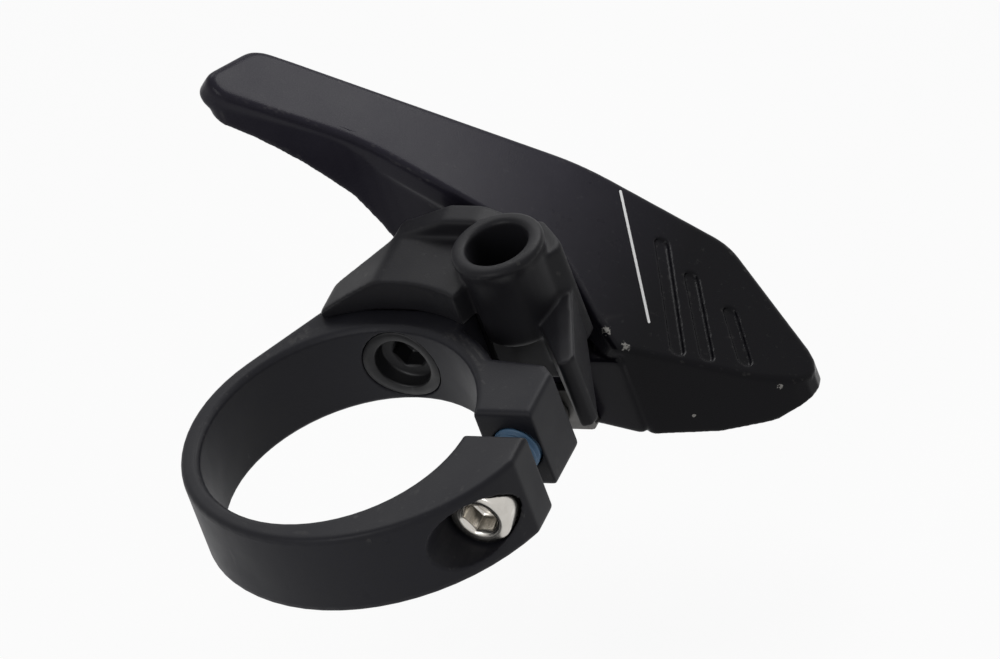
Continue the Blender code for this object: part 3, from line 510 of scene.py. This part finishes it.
def rubber(name):
    """Matte moulded rubber with a slight bloom."""
    material, tree, shader = start_material(name, 0.25)
    grain = use_group(tree, "Blasted grain", {"Low Roughness": 0.6, "High Roughness": 0.8})
    dust = use_group(tree, "Handling dust", {"Amount": 0.4})
    surface = blend_colors(tree, (grain, "Patches"), (0.014, 0.014, 0.014), (0.024, 0.024, 0.023))
    color = blend_colors(tree, (dust, "Mask"), surface, (0.09, 0.09, 0.085))
    join(tree, color, (shader, "Base Color"))
    join(tree, (grain, "Roughness"), (shader, "Roughness"))
    set_bump(tree, shader, (grain, "Height"), 0.5)
    return material


def printed(name, color):
    """Printed paint with small pinholes."""
    material, tree, shader = start_material(name, 0.4)
    grain = use_group(tree, "Blasted grain", {
        "Grain Scale": 6000.0, "Low Roughness": 0.4, "High Roughness": 0.6,
    })
    darker = tuple(value * 0.72 for value in color)
    surface = blend_colors(tree, (grain, "Patches"), darker, color)
    join(tree, surface, (shader, "Base Color"))
    join(tree, (grain, "Roughness"), (shader, "Roughness"))
    set_bump(tree, shader, (grain, "Height"), 0.3)
    return material


def make_band_anodised(name, look):
    colors = (look.band_dark, look.band_light, look.bare_metal)
    return anodised(name, colors, specular=0.14, roughness=(0.4, 0.52), wear=0.07)


def make_bracket_anodised(name, look):
    colors = (look.bracket_dark, look.bracket_light, look.bare_metal)
    return anodised(name, colors, specular=0.11, roughness=(0.38, 0.5), wear=0.07)


def make_lever_anodised(name, look):
    colors = (look.lever_dark, look.lever_light, look.bare_metal)
    return anodised(
        name, colors, specular=0.09, roughness=(0.27, 0.35), wear=0.06, chips=LEVER_CHIPS_AND_HIGHLIGHTS, thumb=True,
    )


def make_clamp_bolt_steel(name, look):
    paint = tuple(look.thread_lock)
    return steel(name, CLAMP_BOLT_AXIS, look.steel_bright, look.steel_stained, (0.14, 0.28), paint=paint)


# The clamp bolt's socket gets a much darker steel: painted shade in its recess
def make_socket_painted_shade_steel(name, look):
    return steel(name, CLAMP_BOLT_AXIS, look.socket_shade_light, look.socket_shade_dark, (0.2, 0.4))


# The cable anchor's steel is much darker than clean steel
def make_anchor_steel(name, look):
    return steel(name, ANCHOR_AXIS, look.dull_steel, look.dull_steel_stained, (0.34, 0.5))


def make_pivot_steel(name, look):
    return steel(name, PIVOT_AXIS, look.steel_bright, look.steel_stained, (0.2, 0.34))


def black_oxide(name, axis_point, look):
    """Steel under a thin black layer, which is only partly metallic."""
    return steel(
        name, axis_point, look.oxide_light, look.oxide_dark, (0.3, 0.46), metallic=0.3, specular=0.25,
    )


FINISH_MAKERS = {
    "band_anodised": make_band_anodised,
    "bracket_anodised": make_bracket_anodised,
    "lever_anodised": make_lever_anodised,
    "clamp_bolt_steel": make_clamp_bolt_steel,
    "socket_painted_shade_steel": make_socket_painted_shade_steel,
    "anchor_steel": make_anchor_steel,
    "pivot_steel": make_pivot_steel,
    "black_oxide_pivot": lambda name, look: black_oxide(name, PIVOT_AXIS, look),
    "black_oxide_band": lambda name, look: black_oxide(name, BRACKET_SCREW_AXIS, look),
    "white_print": lambda name, look: printed(name, look.white_print),
    "shield_rubber": lambda name, look: rubber(name),
}


def finish(name):
    """A named finish, made on its first use."""
    return bpy.data.materials.get(name) or FINISH_MAKERS[name](name, settings().finishes)


def set_finish(piece, *names):
    """Gives a piece its finishes, in the order of its faces' material numbers."""
    piece.data.materials.clear()
    for name in names:
        piece.data.materials.append(finish(name))


def new_piece(name, mesh, body, finishes, nodes=()):
    """Puts a mesh in the scene as a piece that rides on a body and stands for CAD nodes."""
    piece = bpy.data.objects.new(name, mesh)
    bpy.context.scene.collection.objects.link(piece)
    set_finish(piece, *finishes)
    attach(piece, body)
    if nodes:
        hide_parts(*nodes)
    return piece


def mesh_from(name, verts, faces, smooth=True):
    """A mesh from points and faces, with all faces turned outwards."""
    mesh = bpy.data.meshes.new(name)
    mesh.from_pydata(verts, [], faces)
    mesh.validate()
    shape = bmesh.new()
    shape.from_mesh(mesh)
    bmesh.ops.recalc_face_normals(shape, faces=shape.faces)
    shape.to_mesh(mesh)
    shape.free()
    if smooth:
        mesh.shade_smooth()
    return mesh


def applied(piece):
    """The mesh of a piece with its modifiers applied."""
    graph = bpy.context.evaluated_depsgraph_get()
    result = bpy.data.meshes.new_from_object(piece.evaluated_get(graph))
    bpy.data.objects.remove(piece, do_unlink=True)
    return result


def with_modifier(mesh, kind, options, weights=None):
    """A mesh changed by one modifier, which may act by a weight for each point."""
    draft = bpy.data.objects.new(mesh.name + "_draft", mesh)
    bpy.context.scene.collection.objects.link(draft)
    modifier = draft.modifiers.new(kind, kind)
    for name, value in options.items():
        setattr(modifier, name, value)
    if weights is not None:
        group = draft.vertex_groups.new(name="Part")
        for number, weight in enumerate(weights):
            if weight > 0:
                group.add([number], weight, "REPLACE")
        modifier.vertex_group = group.name
    return applied(draft)


def even_skin(name, node, cell, rounds, softer=None, more_rounds=0):
    """A copy of a CAD node's mesh with an even skin of small faces and softened edges.

    softer gives a weight for a point, by which more rounds soften it further. The skin is made finer
    than it has to be and thinned at the end, which keeps slanted edges straight.
    """
    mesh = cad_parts[node].data.copy()
    shape = bmesh.new()
    shape.from_mesh(mesh)
    bmesh.ops.remove_doubles(shape, verts=shape.verts, dist=WELD_DISTANCE)
    shape.to_mesh(mesh)
    shape.free()
    mesh = with_modifier(mesh, "REMESH", {"mode": "VOXEL", "voxel_size": cell})
    mesh = with_modifier(mesh, "SMOOTH", {"factor": SMOOTH_FACTOR, "iterations": rounds})
    if softer is not None:
        weights = [softer(vert.co) for vert in mesh.vertices]
        further = {"factor": SMOOTH_FACTOR, "iterations": more_rounds}
        mesh = with_modifier(mesh, "SMOOTH", further, weights)
    triangles = 2 * len(mesh.polygons)
    if triangles > MOST_FACES:
        mesh = with_modifier(mesh, "DECIMATE", {"ratio": MOST_FACES / triangles})
    mesh.name = name
    mesh.shade_smooth()
    return mesh


def lever_softness(point):
    """Where the lever is rounder: at its free tip and well below its top face."""
    depth = LEVER_TOP_HEIGHT * LEVER_TOP_NORMAL.z - point.dot(LEVER_TOP_NORMAL)
    below = (depth - SOFT_DEPTH) / SOFT_DEPTH_BLEND
    tip = (SOFT_TIP - point.x) / SOFT_TIP_BLEND
    return min(1.0, max(0.0, below, tip))


def true_cylinder(mesh, center, radius, first, last):
    """Puts the band's points near a cylinder exactly on it, so that its shading shows no flats.

    first and last are angles round the handlebar, in degrees.
    """
    for vert in mesh.vertices:
        offset = Vector((vert.co.x - center[0], vert.co.y - center[1]))
        if abs(vert.co.z) > BAND_FLAT_REACH or abs(offset.length - radius) > BAND_WALL_SLACK:
            continue
        if not first <= math.degrees(math.atan2(vert.co.y, vert.co.x)) % 360 <= last:
            continue
        offset *= radius / offset.length
        vert.co.x = center[0] + offset.x
        vert.co.y = center[1] + offset.y


def second_finish(mesh, rows):
    """Gives some rows of a ring stack, from the first up to the last, the piece's second finish."""
    first, last = rows
    for face in mesh.polygons[first * ROUND_STEPS:last * ROUND_STEPS]:
        face.material_index = 1


def polar(place, way, radius, angle, height):
    """A point in metres round an axis along Y, from millimetres: radius in the XZ plane, height along Y."""
    return (
        (place[0] + radius * math.cos(angle)) * MM,
        (place[1] + way * height) * MM,
        (place[2] + radius * math.sin(angle)) * MM,
    )


def hexagon_radius(apothem, angle):
    """Distance from the middle of a hexagon to its side at an angle."""
    sixth = math.pi / 3
    return apothem / math.cos(angle % sixth - sixth / 2)


def ring_stack(name, place, way, rings):
    """A closed body of stacked rings. Each is a function of the angle that gives radius and height."""
    steps = ROUND_STEPS
    verts = []
    for ring in rings:
        for i in range(steps):
            angle = FULL_TURN * i / steps
            radius, height = ring(angle)
            verts.append(polar(place, way, radius, angle, height))
    faces = []
    for row in range(len(rings) - 1):
        near = row * steps
        far = near + steps
        for i in range(steps):
            after = (i + 1) % steps
            faces.append((near + i, near + after, far + after, far + i))
    faces.append(tuple(range(steps)))
    last = (len(rings) - 1) * steps
    faces.append(tuple(range(last + steps - 1, last - 1, -1)))
    return mesh_from(name, verts, faces)


def round_ring(radius, height):
    """A circle."""
    return lambda angle: (radius, height)


def bore_ring(radius, face, depth):
    """A ring that follows the wall of the band's bore, at a depth below that wall."""
    def ring(angle):
        across = radius * math.cos(angle)
        return radius, math.sqrt(BORE_WALL_RADIUS ** 2 - across ** 2) - face + depth
    return ring


def hexagon_ring(apothem, height):
    """A hexagon."""
    return lambda angle: (hexagon_radius(apothem, angle), height)


def thread_ring(root, crest, height, pitch):
    """A ring of a screw thread, whose radius runs up and down once in each turn."""
    def ring(angle):
        turn = (height / pitch - angle / FULL_TURN) % 1.0
        ridge = 1 - abs(2 * turn - 1)
        # Clipping leaves the thread's crest and root flat
        ridge = min(1.0, max(0.0, ridge * 1.35 - 0.15))
        return root + (crest - root) * ridge, height
    return ring


def fillet_rings(outer, inner, low, high, count=5):
    """Rings of a quarter-round edge between a wall (outer, low) and a face (inner, high)."""
    rings = []
    for i in range(count + 1):
        angle = math.pi / 2 * i / count
        radius = inner + (outer - inner) * math.cos(angle)
        rings.append(round_ring(radius, low + (high - low) * math.sin(angle)))
    return rings


def socket_rings(key, depth, lead, top=0.0):
    """Rings of a hexagon socket, from its drilled floor up to the face that it is cut in."""
    apothem = key / 2
    corner = apothem / math.cos(math.pi / 6)
    drilled = key * 0.16
    return [
        round_ring(apothem * 0.12, top + depth + drilled),
        round_ring(apothem * 0.75, top + depth),
        hexagon_ring(apothem * 0.97, top + depth),
        hexagon_ring(apothem, top + depth - lead * 0.5),
        hexagon_ring(apothem, top + lead * 1.6),
        hexagon_ring(apothem, top + lead * 1.1),
        round_ring(corner + lead * 0.4, top + lead * 0.35),
        round_ring(corner + lead, top),
    ]


def thread_rings(crest, pitch, start, length):
    """Rings of a thread from its start to the screw's chamfered end."""
    root = crest - pitch * 0.5
    first = start + pitch * 0.3
    run = length - start - pitch * 1.3
    steps = max(2, round(run / (pitch / 10)))
    rings = [thread_ring(root, crest, first + run * i / steps, pitch) for i in range(steps + 1)]
    rings.append(round_ring(root, length - pitch * 0.6))
    rings.append(round_ring(root - pitch * 0.5, length))
    return rings


def screw_mesh(
    name, place, way, head_radius, head_height, rim, key, thread_radius, pitch, thread_start, length,
    shank_radius,
):
    """A socket screw. Heights run from the head's top into the screw."""
    rings = socket_rings(key, head_height * 0.72, rim * 0.5)
    rings += list(reversed(fillet_rings(head_radius, head_radius - rim, rim, 0.0)))
    rings += [
        round_ring(head_radius, rim + (head_height - rim) * 0.1),
        round_ring(head_radius, head_height - rim * 0.3),
        round_ring(head_radius - rim * 0.3, head_height),
        round_ring(shank_radius + rim * 0.2, head_height),
        round_ring(shank_radius, head_height + rim * 0.2),
        round_ring(shank_radius, thread_start),
    ]
    rings += thread_rings(thread_radius, pitch, thread_start, length)
    return ring_stack(name, place, way, rings)


def countersunk_mesh(
    name, place, face_radius, recess_radius, recess_depth, rim, key, key_depth, lead, thread_radius, pitch,
    length,
):
    """A countersunk screw whose hexagon socket lies at the bottom of a round recess.

    Its face follows the wall of the band's bore.
    """
    cone_end = rim + face_radius - thread_radius
    face = place[1]
    rings = socket_rings(key, key_depth, lead, top=recess_depth)
    rings += [
        round_ring(recess_radius - rim, recess_depth),
        round_ring(recess_radius, recess_depth - rim),
        bore_ring(recess_radius, face, rim),
        bore_ring(recess_radius + rim * 0.3, face, rim * 0.3),
        bore_ring(recess_radius + rim, face, 0.0),
        bore_ring(face_radius - rim * 0.4, face, 0.0),
        bore_ring(face_radius, face, rim * 0.4),
        round_ring(face_radius, rim),
        round_ring(thread_radius, cone_end),
    ]
    rings += thread_rings(thread_radius, pitch, cone_end, length)
    return ring_stack(name, place, 1, rings)


def line_mesh(name, start, end, normal, width, thickness):
    """A thin printed line with round ends between two points of a flat face."""
    half = width / 2
    along = (end - start).normalized() * half
    side = normal.cross(along).normalized() * half
    rounding = 6
    outline = []
    for point, turn in ((start, math.pi / 2), (end, -math.pi / 2)):
        for i in range(rounding + 1):
            angle = turn + math.pi * i / rounding
            outline.append(point + along * math.cos(angle) + side * math.sin(angle))
    verts = []
    for lift in (-LINE_SINK, thickness):
        verts.extend(tuple(point + normal * lift) for point in outline)
    count = len(outline)
    faces = [tuple(range(count)), tuple(range(2 * count - 1, count - 1, -1))]
    for i in range(count):
        after = (i + 1) % count
        faces.append((i, after, count + after, count + i))
    return mesh_from(name, verts, faces, smooth=False)


def color_setting(name, description, default):
    """A setting for a colour."""
    return bpy.props.FloatVectorProperty(
        name=name, description=description, default=default, subtype="COLOR", size=3,
    )


def length_setting(name, description, default):
    """A setting for a small length in metres."""
    return bpy.props.FloatProperty(
        name=name, description=description, default=default, unit="LENGTH", precision=6,
    )


def rounds_setting(name, description, default, most):
    """A setting for how often something is done."""
    return bpy.props.IntProperty(
        name=name, description=description, default=default, min=0, max=most,
    )


class FinishColors(bpy.types.PropertyGroup):
    """Colours of the finishes"""

    band_dark: color_setting("Band dark", "Darker patches of the clamp band", (0.0078, 0.0078, 0.0102))
    band_light: color_setting(
        "Band light", "Lighter patches of the clamp band", (0.0125, 0.0125, 0.016),
    )
    bracket_dark: color_setting(
        "Bracket dark", "Darker patches of the bracket", (0.0075, 0.0074, 0.0088),
    )
    bracket_light: color_setting(
        "Bracket light", "Lighter patches of the bracket", (0.0122, 0.012, 0.014),
    )
    lever_dark: color_setting("Lever dark", "Darker patches of the lever", (0.0115, 0.0105, 0.016))
    lever_light: color_setting("Lever light", "Lighter patches of the lever", (0.017, 0.0155, 0.023))
    bare_metal: color_setting(
        "Bare metal", "Aluminium where the black is rubbed off", (0.32, 0.31, 0.29),
    )
    steel_bright: color_setting("Steel", "Clean stainless steel", (0.66, 0.635, 0.595))
    steel_stained: color_setting("Stained steel", "Slightly dull stainless steel", (0.42, 0.4, 0.365))
    # Steel of the clamp bolt's socket, darkened as painted shade
    socket_shade_light: color_setting(
        "Socket shaded steel", "Steel inside the clamp bolt's socket, darkened as painted shade", (0.15, 0.145, 0.135),
    )
    socket_shade_dark: color_setting(
        "Socket painted shade", "Darker painted shade inside the clamp bolt's socket", (0.03, 0.029, 0.026),
    )
    # The cable anchor's steel, darkened well below clean steel
    dull_steel: color_setting(
        "Dull steel", "Cable anchor's steel, darkened", (0.12, 0.118, 0.115),
    )
    dull_steel_stained: color_setting(
        "Dull steel stains", "Darker stains of the cable anchor's steel", (0.07, 0.068, 0.066),
    )
    oxide_light: color_setting("Oxide light", "Lighter patches of black oxide", (0.016, 0.016, 0.017))
    oxide_dark: color_setting("Oxide dark", "Darker patches of black oxide", (0.008, 0.008, 0.009))
    thread_lock: color_setting(
        "Thread lock", "Blue patch on the clamp bolt's thread", (0.07, 0.16, 0.28),
    )
    white_print: color_setting("White print", "The printed line on the lever", (0.8, 0.8, 0.8))


class ShapeSizes(bpy.types.PropertyGroup):
    """Sizes of the details"""

    band_cell: length_setting("Band cell", "Face size of the clamp band's skin", 0.095 * MM)
    band_rounds: rounds_setting("Band rounds", "How often the band's edges are softened", 15, 40)
    bracket_cell: length_setting("Bracket cell", "Face size of the bracket's skin", 0.135 * MM)
    bracket_rounds: rounds_setting(
        "Bracket rounds", "How often the bracket's edges are softened", 16, 40,
    )
    lever_cell: length_setting("Lever cell", "Face size of the lever's skin", 0.09 * MM)
    lever_rounds: rounds_setting("Lever rounds", "How often the lever's edges are softened", 18, 40)
    lever_more_rounds: rounds_setting(
        "Lever's further rounds", "Further softening of the lever's tip and underside", 45, 80,
    )
    line_width: length_setting("Line width", "Width of the printed line", 0.22 * MM)
    line_thickness: length_setting("Line thickness", "Thickness of the printed line", 0.03 * MM)


class StudioLight(bpy.types.PropertyGroup):
    """Strengths of the lights"""

    key_power: bpy.props.FloatProperty(
        name="Key", description="Power of the large light above and behind", default=0.42, min=0.0,
        subtype="POWER",
    )
    fill_power: bpy.props.FloatProperty(
        name="Fill", description="Power of the large light in front", default=0.75, min=0.0,
        subtype="POWER",
    )
    sheen_power: bpy.props.FloatProperty(
        name="Sheen", description="Power of the small light over the lever's top", default=0.026, min=0.0,
        subtype="POWER",
    )
    world_level: bpy.props.FloatProperty(
        name="World level", description="Level of the light from all around", default=0.25, min=0.0,
    )


class RemoteLeverSettings(bpy.types.PropertyGroup):
    """All settings of the remote lever"""

    finishes: bpy.props.PointerProperty(
        type=FinishColors, name="Finishes", description="Colours of the finishes",
    )
    shapes: bpy.props.PointerProperty(
        type=ShapeSizes, name="Shapes", description="Sizes of the details",
    )
    light: bpy.props.PointerProperty(
        type=StudioLight, name="Light", description="Strengths of the lights",
    )


class REMOTE_LEVER_OT_clamp_band(bpy.types.Operator):
    """Make the split clamp band"""

    bl_idname = "remote_lever.clamp_band"
    bl_label = "Clamp Band"

    def execute(self, context):
        sizes = settings().shapes
        mesh = even_skin("band_skin", "clamp_band", sizes.band_cell, sizes.band_rounds)
        for center, radius, first, last in BAND_CYLINDERS:
            true_cylinder(mesh, center, radius, first, last)
        new_piece("band_skin", mesh, "mount", ["band_anodised"], ["clamp_band"])
        return {"FINISHED"}


class REMOTE_LEVER_OT_bracket(bpy.types.Operator):
    """Make the bracket with its cable port"""

    bl_idname = "remote_lever.bracket"
    bl_label = "Bracket"

    def execute(self, context):
        sizes = settings().shapes
        mesh = even_skin("bracket_skin", "bracket", sizes.bracket_cell, sizes.bracket_rounds)
        new_piece("bracket_skin", mesh, "mount", ["bracket_anodised"], ["bracket"])
        return {"FINISHED"}


class REMOTE_LEVER_OT_lever(bpy.types.Operator):
    """Make the forged lever with its thumb paddle"""

    bl_idname = "remote_lever.lever"
    bl_label = "Lever"

    def execute(self, context):
        sizes = settings().shapes
        mesh = even_skin(
            "lever_skin", "lever", sizes.lever_cell, sizes.lever_rounds, softer=lever_softness,
            more_rounds=sizes.lever_more_rounds,
        )
        new_piece("lever_skin", mesh, "lever_body", ["lever_anodised"], ["lever"])
        return {"FINISHED"}


class REMOTE_LEVER_OT_printed_line(bpy.types.Operator):
    """Print the plain line on the lever"""

    bl_idname = "remote_lever.printed_line"
    bl_label = "Printed Line"

    def execute(self, context):
        sizes = settings().shapes
        mesh = line_mesh(
            "lever_stripe", LINE_START, LINE_END, LEVER_TOP_NORMAL, sizes.line_width, sizes.line_thickness,
        )
        new_piece("lever_stripe", mesh, "lever_body", ["white_print"])
        return {"FINISHED"}


class REMOTE_LEVER_OT_screws(bpy.types.Operator):
    """Make the clamp bolt, the bracket screw, the pivot bolt and the cable anchor screw"""

    bl_idname = "remote_lever.screws"
    bl_label = "Screws"

    def execute(self, context):
        clamp = screw_mesh("clamp_bolt_steel", **CLAMP_BOLT)
        # The socket's faces get the darker steel of painted shade
        second_finish(clamp, CLAMP_SOCKET_ROWS)
        finishes = ["clamp_bolt_steel", "socket_painted_shade_steel"]
        new_piece("clamp_bolt_steel", clamp, "mount", finishes, ["clamp_bolt"])
        pivot = screw_mesh("pivot_bolt_steel", **PIVOT_BOLT)
        finishes = ["black_oxide_pivot"]
        new_piece("pivot_bolt_steel", pivot, "mount", finishes, ["pivot_bolt"])
        anchor = screw_mesh("anchor_screw_steel", **ANCHOR_SCREW)
        finishes = ["anchor_steel"]
        nodes = ["cable_anchor_screw"]
        new_piece("anchor_screw_steel", anchor, "lever_body", finishes, nodes)
        bracket = countersunk_mesh("bracket_screw_steel", **BRACKET_SCREW)
        second_finish(bracket, BRACKET_FACE_ROWS)
        finishes = ["black_oxide_band", "band_anodised"]
        new_piece("bracket_screw_steel", bracket, "mount", finishes, ["bracket_screw"])
        return {"FINISHED"}


HIDDEN_STEEL = (
    "pivot_washer", "bearing_spacer", "return_spring",
    "bearing_1_inner_race", "bearing_1_outer_race", "bearing_1_ball_cage",
    "bearing_2_inner_race", "bearing_2_outer_race", "bearing_2_ball_cage",
)
RUBBER_SHIELDS = (
    "bearing_1_front_shield", "bearing_1_back_shield", "bearing_2_front_shield", "bearing_2_back_shield",
)


class REMOTE_LEVER_OT_pivot_parts(bpy.types.Operator):
    """Finish the bearings, the spring and the small parts of the pivot"""

    bl_idname = "remote_lever.pivot_parts"
    bl_label = "Pivot Parts"

    def execute(self, context):
        finishes = {node: "pivot_steel" for node in HIDDEN_STEEL}
        finishes.update({node: "shield_rubber" for node in RUBBER_SHIELDS})
        finishes["bearing_circlip"] = "black_oxide_pivot"
        finishes["cable_anchor_plate"] = "anchor_steel"
        for node, name in finishes.items():
            set_finish(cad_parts[node], name)
        return {"FINISHED"}


def area_light(name, place, size, power, target):
    """A soft light of a given width and height that looks at a point."""
    lamp = bpy.data.lights.new(name, "AREA")
    lamp.shape = "RECTANGLE"
    lamp.size, lamp.size_y = size
    lamp.energy = power
    light = bpy.data.objects.new(name, lamp)
    bpy.context.scene.collection.objects.link(light)
    light.location = place
    light.rotation_euler = (target - place).to_track_quat("-Z", "Y").to_euler()
    light.visible_camera = False
    return light


def seen_rays(tree):
    """1 where the camera, a gloss or a glass sees the surface, and 0 where it only gives light."""
    path = add_node(tree, "ShaderNodeLightPath")
    kinds = ("Is Camera Ray", "Is Glossy Ray", "Is Transmission Ray")
    return highest(tree, [(path, kind) for kind in kinds])


def floor_material():
    """A pale floor that is near white in the picture and keeps a soft shadow."""
    material = bpy.data.materials.new("studio_floor")
    material.use_nodes = True
    tree = material.node_tree
    shader = tree.nodes["Principled BSDF"]
    shader.inputs["Base Color"].default_value = (0.82, 0.82, 0.82, 1.0)
    shader.inputs["Roughness"].default_value = 1.0
    shader.inputs["Specular IOR Level"].default_value = 0.0
    output = tree.nodes["Material Output"]
    glow = add_node(tree, "ShaderNodeEmission", {"Color": (1.0, 1.0, 1.0, 1.0), "Strength": 1.0})
    share = add_node(tree, "ShaderNodeMath", {1: FLOOR_GLOW}, operation="MULTIPLY")
    mix = add_node(tree, "ShaderNodeMixShader")
    join(tree, seen_rays(tree), (share, 0))
    join(tree, (share, "Value"), (mix, 0))
    join(tree, (shader, "BSDF"), (mix, 1))
    join(tree, (glow, "Emission"), (mix, 2))
    join(tree, (mix, "Shader"), (output, "Surface"))
    return material


def studio_world(level):
    """A world that is white where it is seen and softer where it lights."""
    world = bpy.data.worlds.new("studio_world")
    world.use_nodes = True
    tree = world.node_tree
    background = tree.nodes["Background"]
    strength = blend_values(tree, seen_rays(tree), level, 1.0)
    background.inputs["Color"].default_value = (1.0, 1.0, 1.0, 1.0)
    join(tree, strength, (background, "Strength"))
    return world


class REMOTE_LEVER_OT_stage(bpy.types.Operator):
    """Make the floor, the lights and the camera"""

    bl_idname = "remote_lever.stage"
    bl_label = "Stage"

    def execute(self, context):
        light = settings().light
        scene = context.scene
        shape = bmesh.new()
        bmesh.ops.create_circle(shape, cap_ends=True, radius=FLOOR_RADIUS, segments=ROUND_STEPS)
        mesh = bpy.data.meshes.new("floor")
        shape.to_mesh(mesh)
        shape.free()
        floor = bpy.data.objects.new("floor", mesh)
        floor.location = (0.0, 0.0, FLOOR_Z)
        scene.collection.objects.link(floor)
        floor.data.materials.append(floor_material())
        scene.world = studio_world(light.world_level)
        target = CAMERA_TARGET
        key_place = target + KEY_WAY * LIGHT_DISTANCE
        fill_place = target + FILL_WAY * LIGHT_DISTANCE
        area_light("key_light", key_place, KEY_SIZE, light.key_power, target)
        area_light("fill_light", fill_place, FILL_SIZE, light.fill_power, target)
        area_light("sheen_light", SHEEN_PLACE, SHEEN_SIZE, light.sheen_power, SHEEN_TARGET)
        back = CAMERA_BACK.normalized()
        side = CAMERA_UP.cross(back).normalized()
        up = back.cross(side).normalized()
        lens = bpy.data.cameras.new("camera")
        lens.lens = CAMERA_LENS
        lens.sensor_width = SENSOR_WIDTH
        camera = bpy.data.objects.new("camera", lens)
        scene.collection.objects.link(camera)
        place = target + back * CAMERA_DISTANCE
        camera.matrix_world = Matrix((
            (side.x, up.x, back.x, place.x),
            (side.y, up.y, back.y, place.y),
            (side.z, up.z, back.z, place.z),
            (0.0, 0.0, 0.0, 1.0),
        ))
        scene.camera = camera
        scene.view_settings.view_transform = "Standard"
        return {"FINISHED"}


class REMOTE_LEVER_PT_panel(bpy.types.Panel):
    """Lists the pieces and their settings"""

    bl_idname = "REMOTE_LEVER_PT_panel"
    bl_label = "Remote Lever"
    bl_space_type = "VIEW_3D"
    bl_region_type = "UI"
    bl_category = "Remote Lever"

    def draw(self, context):
        look = context.scene.remote_lever
        for operator in OPERATORS:
            self.layout.operator(operator.bl_idname)
        for group in (look.shapes, look.finishes, look.light):
            box = self.layout.box()
            for name in group.__annotations__:
                box.prop(group, name)


OPERATORS = (
    REMOTE_LEVER_OT_clamp_band,
    REMOTE_LEVER_OT_bracket,
    REMOTE_LEVER_OT_lever,
    REMOTE_LEVER_OT_printed_line,
    REMOTE_LEVER_OT_screws,
    REMOTE_LEVER_OT_pivot_parts,
    REMOTE_LEVER_OT_stage,
)
CLASSES = (
    FinishColors,
    ShapeSizes,
    StudioLight,
    RemoteLeverSettings,
    *OPERATORS,
    REMOTE_LEVER_PT_panel,
)


def register():
    for item in CLASSES:
        bpy.utils.register_class(item)
    bpy.types.Scene.remote_lever = bpy.props.PointerProperty(type=RemoteLeverSettings)


def unregister():
    del bpy.types.Scene.remote_lever
    for item in reversed(CLASSES):
        bpy.utils.unregister_class(item)


def main():
    register()
    bpy.ops.remote_lever.clamp_band()
    bpy.ops.remote_lever.bracket()
    bpy.ops.remote_lever.lever()
    bpy.ops.remote_lever.printed_line()
    bpy.ops.remote_lever.screws()
    bpy.ops.remote_lever.pivot_parts()
    bpy.ops.remote_lever.stage()


if __name__ == "__main__":
    main()
